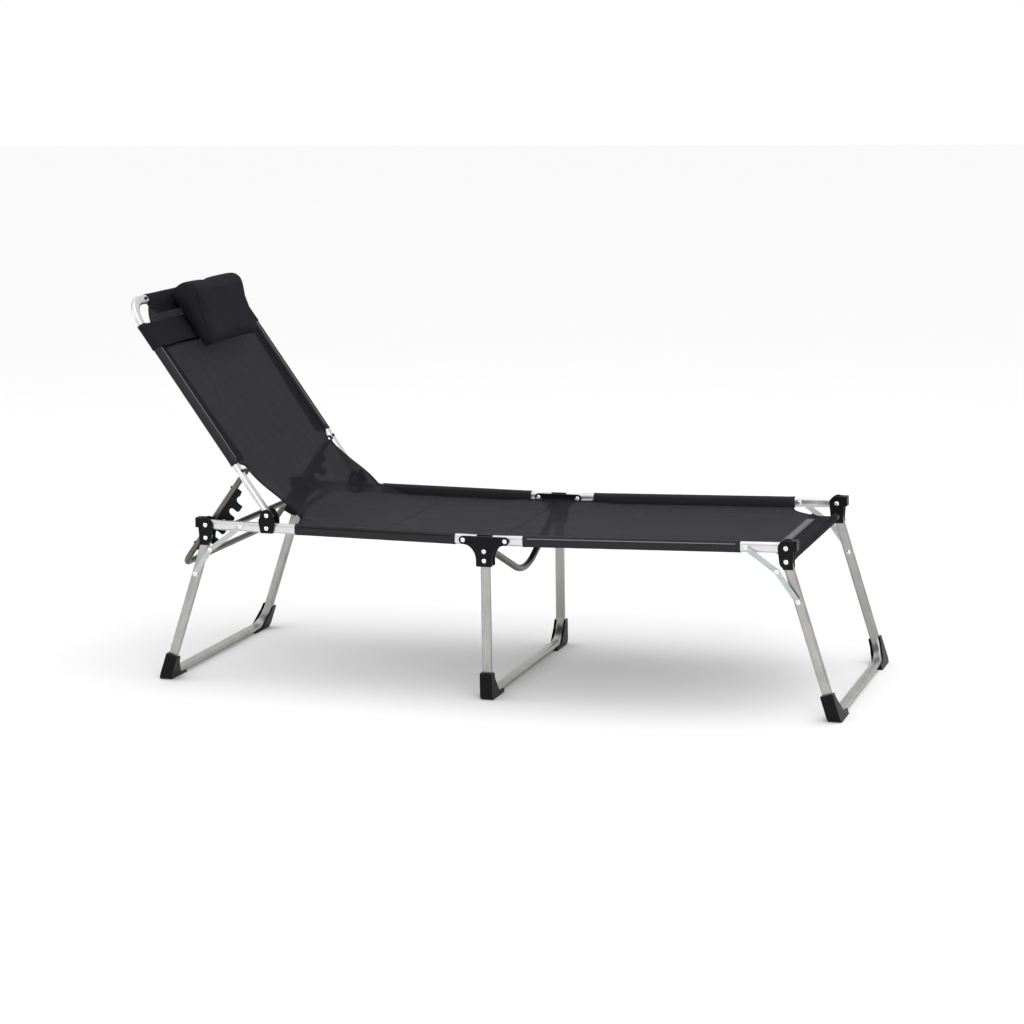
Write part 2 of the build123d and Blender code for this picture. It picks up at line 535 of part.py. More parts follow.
rack_screws = Part()
for screw_x in (RACK_START + 6, RACK_END - 10):
    at_screw = Pos(screw_x, BAIL_HALF, -BAIL_ROUND / 2)
    bail_tube -= both_sides(at_screw * Cylinder(1.6, 60))
    rack_screws += at_screw * (Pos(0, 0, -1.2) * Cylinder(3.2, 2.0) + Pos(0, 0, 8) * Cylinder(1.55, 18))
left_rack = rack()
for screw_x in (RACK_START + 6, RACK_END - 10):
    left_rack -= Pos(screw_x, BAIL_HALF, 4) * Cylinder(1.6, 16)
keep("bail", place_bail(bail_tube))
keep_pair("rack", left_rack, place_bail)
keep("rack_screws", place_bail(both_sides(rack_screws)))

# --- seat sling ---------------------------------------------------------------------------------------------------
foot_z = -LEG_DROP + BAR_ROUND / 2 + GAP
front_sling = seat_sling(FRONT_SLEEVE, 1.0, FRONT_SLEEVE[1] + 6)
ramp_start = FRONT_SLEEVE[1]
ramp = Polyline(
    (ramp_start, -PANEL_DROP), (ramp_start, -PANEL_DROP + CLOTH), (FRONT_LENGTH, foot_z + CLOTH),
    (FRONT_LENGTH, foot_z), close=True,
)
ramp_start_plane = Plane(origin=(0, FOOT_HEM_HALF, 0), x_dir=(1, 0, 0), z_dir=(0, -1, 0))
front_sling += extrude(ramp_start_plane * make_face(ramp), 2 * FOOT_HEM_HALF)
foot_hem = rod(FRONT_LENGTH, -LEG_DROP, -FOOT_HEM_HALF, FOOT_HEM_HALF, BAR_ROUND / 2 + GAP + CLOTH)
front_sling += foot_hem
front_sling -= rod(FRONT_LENGTH, -LEG_DROP, -FOOT_HEM_HALF - 1, FOOT_HEM_HALF + 1, BAR_ROUND / 2 + GAP)
keep("seat_cloth_front", place_front(front_sling))
keep("seat_cloth_rear", place_rear(seat_sling(REAR_SLEEVE, 1.0, REAR_SLEEVE[1])))

strap_fall = degrees(atan2(-PANEL_DROP - foot_z, FRONT_LENGTH - ramp_start))
strap_share = (STRAP_AT - ramp_start) / (FRONT_LENGTH - ramp_start)
strap_lift = -PANEL_DROP + CLOTH + GAP - strap_share * (-PANEL_DROP - foot_z)
strap = Pos(STRAP_AT, 0, strap_lift + CLOTH / 2) * Rot(Y=strap_fall) * Box(STRAP_WIDE, 2 * STRAP_HALF, CLOTH)
keep("foot_strap", place_front(strap))

# The cloth between the seat and the backrest runs straight from one to the other.
rear_at = REAR_SLEEVE[1] + 2
seat_edge = (-HINGE_X - rear_at, HINGE_Z - PANEL_DROP + rear_at * sin(radians(REAR_RISE)))
back_edge_along = BACK_SLEEVE[0] - 2
back_edge = (BACK_HINGE[0] + back_edge_along * back_dir[0] + BACK_PANEL * back_front[0],
             BACK_HINGE[1] + back_edge_along * back_dir[2] + BACK_PANEL * back_front[2])
bend = Polyline(seat_edge, back_edge, (back_edge[0] + CLOTH, back_edge[1] + CLOTH),
                (seat_edge[0] + CLOTH, seat_edge[1] + CLOTH), close=True)
bend_plane = Plane(origin=(0, BEND_HALF, 0), x_dir=(1, 0, 0), z_dir=(0, -1, 0))
keep("bend_cloth", extrude(bend_plane * make_face(bend), 2 * BEND_HALF))

# --- origin: middle of the whole on the floor, under its box -------------------------------------------------------
boxes = [shape.bounding_box() for shape in PARTS.values()]
shift = -(min(b.min.X for b in boxes) + max(b.max.X for b in boxes)) / 2
for node, shape in PARTS.items():
    export_step(Pos(shift, 0, 0) * shape, f"parts/{node}.step")
print("shift", round(shift, 3), "nodes", len(PARTS))
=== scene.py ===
"""Reclining sun lounger: its sling, sleeves, seams, pillow and finishes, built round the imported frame.

Metres, +Z up, +X to the foot end, +Y to the left of someone lying on it.
"""
import json
import logging
import math
from collections.abc import Sequence
from dataclasses import dataclass, field
from enum import Enum

import bmesh
import bpy
import numpy as np
from mathutils import Matrix, Vector
from mathutils.bvhtree import BVHTree


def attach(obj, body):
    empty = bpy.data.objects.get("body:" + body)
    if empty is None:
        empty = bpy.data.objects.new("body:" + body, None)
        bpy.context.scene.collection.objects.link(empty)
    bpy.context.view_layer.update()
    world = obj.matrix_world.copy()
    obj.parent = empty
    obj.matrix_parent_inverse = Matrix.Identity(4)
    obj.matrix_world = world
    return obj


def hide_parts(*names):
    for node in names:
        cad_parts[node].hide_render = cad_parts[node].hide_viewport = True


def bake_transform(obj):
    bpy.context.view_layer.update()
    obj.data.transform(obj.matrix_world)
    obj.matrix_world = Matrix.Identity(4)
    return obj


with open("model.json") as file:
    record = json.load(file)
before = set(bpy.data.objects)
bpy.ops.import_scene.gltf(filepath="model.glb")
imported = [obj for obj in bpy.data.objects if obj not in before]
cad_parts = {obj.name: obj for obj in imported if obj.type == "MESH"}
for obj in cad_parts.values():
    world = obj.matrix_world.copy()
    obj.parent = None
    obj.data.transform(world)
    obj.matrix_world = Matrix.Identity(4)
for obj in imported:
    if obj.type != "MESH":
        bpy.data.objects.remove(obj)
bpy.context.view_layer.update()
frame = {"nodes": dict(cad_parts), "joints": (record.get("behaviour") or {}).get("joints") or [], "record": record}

log = logging.getLogger("lounger")
Array = np.ndarray
MM = 0.001
RIPPLE_SHARES = (0.5, 0.3, 0.2)     # heights of the three waves that make up a ripple
SKIN = 0.15 * MM                    # how far sewing stands off the face of its cloth


# --- small tools ----------------------------------------------------------------------------------
def linear(hex_colour: str) -> tuple[float, float, float, float]:
    """Turns an sRGB hex colour into the linear colour that shaders take.

    Args:
        hex_colour: Six hex digits after a hash sign.

    Returns:
        Red, green, blue and an alpha of one.
    """
    parts = [int(hex_colour[i:i + 2], 16) / 255 for i in (1, 3, 5)]
    red, green, blue = (c / 12.92 if c <= 0.04045 else ((c + 0.055) / 1.055) ** 2.4 for c in parts)
    return red, green, blue, 1.0


def add(
    tree: bpy.types.NodeTree, kind: str, inputs: dict | None = None, **settings: object
) -> bpy.types.Node:
    """Adds one node with its settings, values and links.

    Args:
        tree: The node tree that gets the node.
        kind: Blender's name for the type of node.
        inputs: For each input, by name or number, its value or the socket that feeds it.
        **settings: Properties of the node itself.

    Returns:
        The new node.
    """
    node = tree.nodes.new(kind)
    for key, value in settings.items():
        setattr(node, key, value)
    for key, value in (inputs or {}).items():
        if isinstance(value, bpy.types.NodeSocket):
            tree.links.new(value, node.inputs[key])
        else:
            node.inputs[key].default_value = value
    return node


def ease(t: Array | float) -> Array | float:
    """Smooth step from 0 to 1."""
    t = np.clip(t, 0.0, 1.0)
    return t * t * (3 - 2 * t)


def arc(centre: tuple[float, float], radius: float, start: float, end: float, count: int = 12) -> Array:
    """Points on an arc.

    Args:
        centre: Middle of the arc's circle.
        radius: Its radius.
        start: First angle in degrees, 0 along the first axis.
        end: Last angle.
        count: Number of points.

    Returns:
        The points, one in each row.
    """
    angles = np.radians(np.linspace(start, end, count))
    return np.stack([centre[0] + radius * np.cos(angles), centre[1] + radius * np.sin(angles)], axis=1)


def bend_curve(start: Array, end: Array, leave: Array, arrive: Array, count: int = 24) -> Array:
    """Smooth curve between two points with given directions there.

    Args:
        start: First point.
        end: Last point.
        leave: Direction and strength of the curve where it starts.
        arrive: Direction and strength of the curve where it ends.
        count: Number of points.

    Returns:
        The points, one in each row.
    """
    t = np.linspace(0, 1, count)[:, None]
    ends = (2 * t ** 3 - 3 * t ** 2 + 1) * start + (3 * t ** 2 - 2 * t ** 3) * end
    return ends + (t ** 3 - 2 * t ** 2 + t) * leave + (t ** 3 - t ** 2) * arrive


def path_length(points: Array) -> float:
    """Length of a polyline."""
    return float(np.linalg.norm(np.diff(points, axis=0), axis=1).sum())


def turned(direction: Array, angle: float) -> Array:
    """Turns a flat direction by an angle in radians."""
    cos, sin = math.cos(angle), math.sin(angle)
    return np.array([[cos, -sin], [sin, cos]]) @ direction


def even(points: Array, count: int) -> Array:
    """Spreads points evenly along a polyline.

    Args:
        points: The polyline, one point in each row.
        count: Number of points wanted.

    Returns:
        The evenly spaced points.
    """
    steps = np.linalg.norm(np.diff(points, axis=0), axis=1)
    run = np.concatenate([[0.0], np.cumsum(steps)])
    wanted = np.linspace(0, run[-1], count)
    return np.stack([np.interp(wanted, run, points[:, k]) for k in range(points.shape[1])], axis=1)


def ripple(along: Array | float, across: Array | float, length: float, seed: int) -> Array | float:
    """Gentle uneven waves between -1 and 1, the same on every run.

    Args:
        along: Place along the cloth in metres.
        across: Place across the cloth in metres.
        length: Length of the main wave in metres.
        seed: Picks the set of waves.

    Returns:
        Height of the waves there.
    """
    dice = np.random.default_rng(seed)
    total = 0.0
    for share in RIPPLE_SHARES:
        turn, phase = dice.uniform(-0.5, 0.5), dice.uniform(0, 2 * math.pi)
        stretch = dice.uniform(0.6, 1.7)
        place = along * math.cos(turn) + across * math.sin(turn)
        total = total + share * np.sin(2 * math.pi * place / (length * stretch) + phase)
    return total


@dataclass
class Run:
    """A straight run of the frame, from a hinge along a tube.

    Attributes:
        start: The hinge, as X and Z.
        ahead: A second point on the tube's axis, as X and Z.
        level_before: True where the cloth runs level before the hinge.
    """

    start: tuple[float, float]
    ahead: tuple[float, float]
    level_before: bool = False
    along: Array = field(init=False)
    off: Array = field(init=False)

    def __post_init__(self) -> None:
        """Works out the run's direction and the direction off it, upwards."""
        step = np.subtract(self.ahead, self.start)
        self.along = step / np.linalg.norm(step)
        side = np.array([-self.along[1], self.along[0]])
        self.off = side if side[1] > 0 else -side

    def flat(self, along: Array | float, off: Array | float) -> Array:
        """Place in X and Z of a point that far along and off the run.

        Args:
            along: Distance from the hinge.
            off: Distance from the tube's axis.

        Returns:
            X and Z in the last axis.
        """
        along, off = np.broadcast_arrays(np.asarray(along, float), np.asarray(off, float))
        point = np.asarray(self.start) + along[..., None] * self.along + off[..., None] * self.off
        if self.level_before:
            level = np.stack(
                [self.start[0] + along * np.sign(self.along[0]), self.start[1] + off], axis=-1)
            point = np.where(along[..., None] < 0, level, point)
        return point

    def at(self, along: Array | float, across: Array | float, off: Array | float) -> Array:
        """The same place in space, with its Y.

        Args:
            along: Distance from the hinge.
            across: Distance from the middle plane, towards +Y.
            off: Distance from the tube's axis.

        Returns:
            X, Y and Z in the last axis.
        """
        point = self.flat(along, off)
        across = np.broadcast_to(across, point.shape[:-1])
        return np.stack([point[..., 0], across, point[..., 1]], axis=-1)


def hinge(name: str) -> tuple[float, float]:
    """X and Z of a joint's axis at rest."""
    place = next(j["pos_m"] for j in frame["joints"] if j["name"] == name)
    return place[0], place[2]


FRONT = Run(hinge("front_fold"), hinge("front_upper_link"), level_before=True)
REAR = Run(hinge("rear_fold"), hinge("rear_upper_link"), level_before=True)
BACK = Run(hinge("backrest_recline"), hinge("bail_swing"))
MIDDLE_X = (FRONT.start[0] + REAR.start[0]) / 2


# --- finishes -------------------------------------------------------------------------------------
class Lay(Enum):
    """Which way a tube runs: its slope down towards +X in degrees, and how far out its cross run reaches."""

    RAIL = (0.0, 0.0)
    BACKREST = (55.0, 0.232)
    BAIL = (-53.9, 0.250)
    FRONT_LEG = (72.8, 0.243)
    MIDDLE_LEG = (90.0, 0.243)
    REAR_LEG = (-71.2, 0.243)
    CROSSWISE = (0.0, 1.0)


def start_material(name: str) -> tuple[bpy.types.Material, bpy.types.NodeTree, bpy.types.Node]:
    """Makes an empty node material.

    Args:
        name: Name of the material.

    Returns:
        The material, its node tree and its main shader.
    """
    material = bpy.data.materials.new(name)
    material.use_nodes = True
    tree = material.node_tree
    tree.nodes.clear()
    shader = add(tree, "ShaderNodeBsdfPrincipled")
    add(tree, "ShaderNodeOutputMaterial", {"Surface": shader.outputs["BSDF"]})
    return material, tree, shader


def two_tone(
    tree: bpy.types.NodeTree, factor: bpy.types.NodeSocket, low: str, high: str
) -> bpy.types.NodeSocket:
    """Mixes two sRGB colours by a factor.

    Args:
        tree: The material's node tree.
        factor: Socket of the factor, from 0 to 1.
        low: Colour at 0.
        high: Colour at 1.

    Returns:
        Socket of the mixed colour.
    """
    ramp = add(tree, "ShaderNodeValToRGB", {"Fac": factor})
    ramp.color_ramp.elements[0].color = linear(low)
    ramp.color_ramp.elements[1].color = linear(high)
    return ramp.outputs["Color"]


@dataclass(frozen=True)
class DrawnMetal:
    """Aluminium tube as it leaves the die, or rolled strip: faint lines along it, and a cloudy, satin gloss.

    Attributes:
        name: Name of the material.
        dark: Colour in the die lines.
        light: Colour between them.
        roughness: Middle roughness of the surface.
        line_mm: Spacing of the lines; real ones are finer, so they are drawn as coarse as they need to show.
        lay: Which way the lines run.
        line_stretch: How many times longer than wide a line is.
        cloud_mm: Size of the cloudy patches.
        swing: How far the roughness moves either way.
    """

    name: str
    dark: str
    light: str
    roughness: float
    line_mm: float = 1.6
    lay: Lay = Lay.RAIL
    line_stretch: float = 30.0
    cloud_mm: float = 45.0
    swing: float = 0.07

    def make(self) -> bpy.types.Material:
        """Builds the material.

        Returns:
            The finished material.
        """
        material, tree, shader = start_material(self.name)
        place = add(tree, "ShaderNodeTexCoord").outputs["Object"]
        slope, crosswise_half = self.lay.value
        fine = 1 / self.line_stretch
        turn = (0.0, math.radians(slope), 0.0)
        drawn = []
        for squeeze, spin in (((fine, 1.0, fine), (0.0, 0.0, 0.0)), ((1.0, fine, fine), turn)):
            turned = add(tree, "ShaderNodeMapping", {
                "Vector": place, "Rotation": spin, "Scale": squeeze}, vector_type="TEXTURE")
            drawn.append(add(tree, "ShaderNodeTexNoise", {
                "Vector": turned.outputs["Vector"], "Scale": fine / (self.line_mm * MM), "Detail": 2.0,
                "Roughness": 0.6}).outputs["Fac"])
        side = add(tree, "ShaderNodeSeparateXYZ", {"Vector": place}).outputs["Y"]
        reach = add(tree, "ShaderNodeMath", {0: side}, operation="ABSOLUTE").outputs[0]
        beyond = add(
            tree, "ShaderNodeMath", {0: reach, 1: crosswise_half}, operation="GREATER_THAN").outputs[0]
        lines = add(
            tree, "ShaderNodeMix", {"Factor": beyond, "A": drawn[0], "B": drawn[1]}).outputs["Result"]
        clouds = add(tree, "ShaderNodeTexNoise", {
            "Vector": place, "Scale": 1 / (self.cloud_mm * MM), "Detail": 3.0})
        mixed = add(tree, "ShaderNodeMath", {0: lines, 1: clouds.outputs["Fac"]}, operation="ADD")
        share = add(tree, "ShaderNodeMapRange", {
            "Value": mixed.outputs[0], "From Min": 0.7, "From Max": 1.3})
        colour = two_tone(tree, share.outputs["Result"], self.dark, self.light)
        tree.links.new(colour, shader.inputs["Base Color"])
        rough = add(tree, "ShaderNodeMapRange", {
            "Value": mixed.outputs[0], "From Min": 0.6, "From Max": 1.4,
            "To Min": self.roughness - self.swing, "To Max": self.roughness + self.swing})
        tree.links.new(rough.outputs["Result"], shader.inputs["Roughness"])
        bump = add(tree, "ShaderNodeBump", {"Height": lines, "Strength": 0.12, "Distance": 0.05 * MM})
        tree.links.new(bump.outputs["Normal"], shader.inputs["Normal"])
        shader.inputs["Metallic"].default_value = 1.0
        return material


@dataclass(frozen=True)
class MouldedNylon:
    """Injection-moulded black nylon: an even, fine spark-eroded grain that breaks up its highlights.

    Attributes:
        name: Name of the material.
        dark: Colour in the hollows of the grain.
        light: Colour on its tops, a little rubbed.
        grain_mm: Width of one grain; the real one is about half as wide, so it is drawn coarser to show.
        roughness: Roughness of the skin of the moulding.
        gloss: How strongly it mirrors, 0.5 for a clean skin; the grain scatters most of it.
        rub_mm: Size of the patches that handling has rubbed.
    """

    name: str
    dark: str
    light: str
    grain_mm: float = 0.7
    roughness: float = 0.42
    gloss: float = 0.12
    rub_mm: float = 14.0

    def make(self) -> bpy.types.Material:
        """Builds the material.

        Returns:
            The finished material.
        """
        material, tree, shader = start_material(self.name)
        place = add(tree, "ShaderNodeTexCoord").outputs["Object"]
        grain = add(tree, "ShaderNodeTexVoronoi", {"Vector": place, "Scale": 1 / (self.grain_mm * MM)})
        rub = add(tree, "ShaderNodeTexNoise", {
            "Vector": place, "Scale": 1 / (self.rub_mm * MM), "Detail": 4.0})
        colour = two_tone(tree, rub.outputs["Fac"], self.dark, self.light)
        tree.links.new(colour, shader.inputs["Base Color"])
        rough = add(tree, "ShaderNodeMapRange", {
            "Value": rub.outputs["Fac"], "From Min": 0.3, "From Max": 0.7,
            "To Min": self.roughness - 0.06, "To Max": self.roughness + 0.08})
        tree.links.new(rough.outputs["Result"], shader.inputs["Roughness"])
        bump = add(tree, "ShaderNodeBump", {
            "Height": grain.outputs["Distance"], "Strength": 0.25, "Distance": 0.08 * MM})
        tree.links.new(bump.outputs["Normal"], shader.inputs["Normal"])
        shader.inputs["Specular IOR Level"].default_value = self.gloss
        return material


@dataclass(frozen=True)
class WovenCloth:
    """Woven cloth with its threads along its own length and width, read from the piece's UV map in metres.

    Attributes:
        name: Name of the material.
        dark: Colour between the threads.
        light: Colour on top of them.
        thread_mm: Spacing of the threads; finer ones are drawn as coarse as they need to show.
        streak: How much one thread differs from the next along the cloth, from 0 to 1.
        roughness: Roughness of the threads.
        sheen: Fuzz on the threads.
        cover: Share of the light that one face of the weave stops; an open weave lets a little through.
        relief_mm: Height of the threads.
        gloss: How strongly the threads mirror; they hide most of it from one another.
        streak_mm: Spacing of the uneven threads that show as streaks.
        streak_stretch: How many times longer than wide a streak is.
    """

    name: str
    dark: str
    light: str
    thread_mm: float
    streak: float = 0.3
    roughness: float = 0.6
    sheen: float = 0.05
    cover: float = 1.0
    relief_mm: float = 0.25
    gloss: float = 0.05
    streak_mm: float = 4.0
    streak_stretch: float = 60.0

    def make(self) -> bpy.types.Material:
        """Builds the material.

        Returns:
            The finished material.
        """
        material, tree, shader = start_material(self.name)
        cloth = add(tree, "ShaderNodeUVMap", uv_map="cloth").outputs["UV"]
        wave_scale = math.pi / (10 * self.thread_mm * MM)
        warp, weft = (
            add(tree, "ShaderNodeTexWave", {"Vector": cloth, "Scale": wave_scale}, bands_direction=way)
            for way in ("Y", "X"))
        squares = add(tree, "ShaderNodeTexChecker", {
            "Vector": cloth, "Scale": 0.5 / (self.thread_mm * MM)})
        weave = add(tree, "ShaderNodeMix", {
            "Factor": squares.outputs["Fac"], "A": warp.outputs["Fac"], "B": weft.outputs["Fac"]})
        stretched = add(tree, "ShaderNodeMapping", {
            "Vector": cloth, "Scale": (1.0, self.streak_stretch, 1.0)})
        streaks = add(tree, "ShaderNodeTexNoise", {
            "Vector": stretched.outputs["Vector"],
            "Scale": 1 / (self.streak_mm * MM * self.streak_stretch), "Detail": 3.0})
        tone = add(tree, "ShaderNodeMix", {
            "Factor": self.streak, "A": weave.outputs["Result"], "B": streaks.outputs["Fac"]})
        colour = two_tone(tree, tone.outputs["Result"], self.dark, self.light)
        tree.links.new(colour, shader.inputs["Base Color"])
        bump = add(tree, "ShaderNodeBump", {
            "Height": weave.outputs["Result"], "Strength": 0.5, "Distance": self.relief_mm * MM})
        tree.links.new(bump.outputs["Normal"], shader.inputs["Normal"])
        shader.inputs["Roughness"].default_value = self.roughness
        shader.inputs["Specular IOR Level"].default_value = self.gloss
        shader.inputs["Sheen Weight"].default_value = self.sheen
        shader.inputs["Alpha"].default_value = self.cover
        return material


@dataclass(frozen=True)
class BrushedCloth:
    """Brushed polyester over a filling: short soft fibres that dull it and give a faint glow at its rims.

    Attributes:
        name: Name of the material.
        dark: Colour between the fibres.
        light: Colour at their tips.
        fibre_mm: Size of one tuft.
        sheen: Glow of the fibres at the rims.
        nap_mm: Size of the patches where the nap leans the same way.
        nap_share: How much of the tone those patches give.
        roughness: Roughness of the fibres.
        gloss: How strongly they mirror.
    """

    name: str
    dark: str
    light: str
    fibre_mm: float = 1.1
    sheen: float = 0.02
    nap_mm: float = 60.0
    nap_share: float = 0.45
    roughness: float = 0.95
    gloss: float = 0.02

    def make(self) -> bpy.types.Material:
        """Builds the material.

        Returns:
            The finished material.
        """
        material, tree, shader = start_material(self.name)
        place = add(tree, "ShaderNodeTexCoord").outputs["Object"]
        lean = math.radians(Lay.BACKREST.value[0])
        combed = add(tree, "ShaderNodeMapping", {
            "Vector": place, "Rotation": (0.0, lean, 0.0), "Scale": (1.6, 1.0, 1.0)}, vector_type="TEXTURE")
        fibres = add(tree, "ShaderNodeTexNoise", {
            "Vector": combed.outputs["Vector"], "Scale": 1 / (self.fibre_mm * MM), "Detail": 3.0,
            "Roughness": 0.7})
        nap = add(tree, "ShaderNodeTexNoise", {
            "Vector": place, "Scale": 1 / (self.nap_mm * MM), "Detail": 2.0})
        tone = add(tree, "ShaderNodeMix", {
            "Factor": self.nap_share, "A": fibres.outputs["Fac"], "B": nap.outputs["Fac"]})
        colour = two_tone(tree, tone.outputs["Result"], self.dark, self.light)
        tree.links.new(colour, shader.inputs["Base Color"])
        bump = add(tree, "ShaderNodeBump", {
            "Height": fibres.outputs["Fac"], "Strength": 0.35, "Distance": 0.25 * MM})
        tree.links.new(bump.outputs["Normal"], shader.inputs["Normal"])
        shader.inputs["Roughness"].default_value = self.roughness
        shader.inputs["Specular IOR Level"].default_value = self.gloss
        shader.inputs["Sheen Weight"].default_value = self.sheen
        return material


@dataclass(frozen=True)
class SpunThread:
    """Bonded polyester sewing thread or a thin cord: a twist of plies with a soft gloss.

    Attributes:
        name: Name of the material.
        dark: Colour between the plies.
        light: Colour on top of them.
        ply_mm: Width of a ply.
        roughness: Roughness of the thread.
        gloss: How strongly it mirrors.
    """

    name: str
    dark: str
    light: str
    ply_mm: float = 0.8
    roughness: float = 0.6
    gloss: float = 0.1

    def make(self) -> bpy.types.Material:
        """Builds the material.

        Returns:
            The finished material.
        """
        material, tree, shader = start_material(self.name)
        place = add(tree, "ShaderNodeTexCoord").outputs["Object"]
        plies = add(tree, "ShaderNodeTexNoise", {
            "Vector": place, "Scale": 1 / (self.ply_mm * MM), "Detail": 2.0})
        colour = two_tone(tree, plies.outputs["Fac"], self.dark, self.light)
        tree.links.new(colour, shader.inputs["Base Color"])
        bump = add(tree, "ShaderNodeBump", {
            "Height": plies.outputs["Fac"], "Strength": 0.3, "Distance": 0.1 * MM})
        tree.links.new(bump.outputs["Normal"], shader.inputs["Normal"])
        shader.inputs["Roughness"].default_value = self.roughness
        shader.inputs["Specular IOR Level"].default_value = self.gloss
        return material


class Finishes:
    """Every finish of the lounger, made once."""

    def __init__(self) -> None:
        """Makes the materials."""
        # The bar's colours are partly its own duller grey-brown and partly painted shade, darkened to the shade it
        # sits in under the seat; the bail takes the same darkened colours.
        rail, leg, bar = ("#cfcfd2", "#e2e2e4"), ("#a09f9b", "#bab9b6"), ("#5f5b53", "#77736b")
        self.rail = DrawnMetal("satin_anodised_rail", *rail, 0.32).make()
        self.back_tube = DrawnMetal("satin_anodised_back_tube", *rail, 0.32, lay=Lay.BACKREST).make()
        self.front_leg = DrawnMetal("drawn_anodised_front_leg", *leg, 0.36, lay=Lay.FRONT_LEG).make()
        self.middle_leg = DrawnMetal("drawn_anodised_middle_leg", *leg, 0.36, lay=Lay.MIDDLE_LEG).make()
        self.rear_leg = DrawnMetal("drawn_anodised_rear_leg", *leg, 0.36, lay=Lay.REAR_LEG).make()
        self.bar = DrawnMetal("drawn_anodised_bar", *bar, 0.40, lay=Lay.CROSSWISE).make()
        self.bail = DrawnMetal("drawn_anodised_bail", *bar, 0.40, lay=Lay.BAIL).make()
        self.zinc = DrawnMetal("zinc_plated_strip", "#a9afae", "#c9cecd", 0.38, line_mm=2.4).make()
        self.rivet = DrawnMetal("bright_steel_rivet", "#e6e6e4", "#f6f6f4", 0.20, line_mm=1.0).make()
        self.screw = DrawnMetal("black_oxide_screw", "#151516", "#262628", 0.42, line_mm=1.0).make()
        self.nylon = MouldedNylon("moulded_black_nylon", "#09090b", "#141417").make()
        self.mesh = WovenCloth(
            "coated_mesh_weave", "#0a0a0d", "#21202a", 1.2, streak=0.45, roughness=0.6, sheen=0.0,
            cover=0.86).make()
        self.sleeve = WovenCloth(
            "coated_mesh_sleeve", "#1e1e20", "#3a393d", 1.2, streak=0.3, roughness=0.5, sheen=0.0).make()
        self.band = WovenCloth(
            "plain_weave_band", "#171619", "#2a292d", 1.4, streak=0.2, roughness=0.85, sheen=0.0,
            gloss=0.02).make()
        self.tape = WovenCloth(
            "woven_grey_tape", "#525156", "#7f7e82", 1.8, streak=0.35, roughness=0.7).make()
        self.pillow = BrushedCloth("brushed_polyester_pillow", "#18171b", "#2a292e").make()
        # Piping cord whose light grey is a painted highlight along the sleeves' rounded upper edges.
        self.highlight_grey_cord = SpunThread("grey_piping_cord", "#5c5c60", "#8c8c90").make()
        self.black_cord = SpunThread("black_bound_edge", "#0a0a0b", "#18181a").make()
        self.black_thread = SpunThread("black_sewing_thread", "#111113", "#242427", 0.4).make()

    def dress_frame(self) -> None:
        """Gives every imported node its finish, by the record's material slots and by what the node is."""
        by_slot = {
            "black_plastic": self.nylon, "rivet_steel": self.rivet, "link_steel": self.zinc,
            "screw_black": self.screw, "rail_aluminium": self.rail, "bar_aluminium": self.bar,
            "sling_mesh": self.mesh, "grey_webbing": self.tape, "band_cloth": self.band,
            "pillow_cloth": self.pillow,
        }
        by_node = {
            "backrest_frame": self.back_tube, "front_leg": self.front_leg, "middle_leg": self.middle_leg,
            "rear_leg": self.rear_leg, "bail": self.bail,
        }
        slots = {part["node"]: part["material_slot"] for part in frame["record"]["subparts"]}
        for name, node in frame["nodes"].items():
            finish = by_node[name] if name in by_node else by_slot[slots[name]]
            for place in node.material_slots:
                place.material = finish
            if not node.material_slots:
                node.data.materials.append(finish)


# --- making meshes --------------------------------------------------------------------------------
def finish_mesh(name: str, mesh: bpy.types.Mesh, material: bpy.types.Material | None) -> bpy.types.Object:
    """Puts a mesh in the scene with its faces outwards, smooth and dressed, and any marked 1 left flat.

    Args:
        name: Name of the piece.
        mesh: Its mesh.
        material: Its finish, or None to keep the mesh's own.

    Returns:
        The new object.
    """
    work = bmesh.new()
    work.from_mesh(mesh)
    if work.calc_volume(signed=True) < 0:
        bmesh.ops.reverse_faces(work, faces=work.faces)
    for face in work.faces:
        face.smooth = face.material_index == 0
        face.material_index = 0
    work.to_mesh(mesh)
    work.free()
    if material is not None:
        mesh.materials.clear()
        mesh.materials.append(material)
    mesh.name = name
    piece = bpy.data.objects.new(name, mesh)
    bpy.context.scene.collection.objects.link(piece)
    return piece


def surface_normals(grid: Array, loop: bool) -> Array:
    """Unit normals of a grid of points.

    Args:
        grid: Rows and columns of points.
        loop: True where the last column meets the first.

    Returns:
        One normal for each point.
    """
    down = np.gradient(grid, axis=0)
    if loop:
        across = np.roll(grid, -1, axis=1) - np.roll(grid, 1, axis=1)
    else:
        across = np.gradient(grid, axis=1)
    normal = np.cross(down, across)
    return normal / np.maximum(np.linalg.norm(normal, axis=2, keepdims=True), 1e-12)


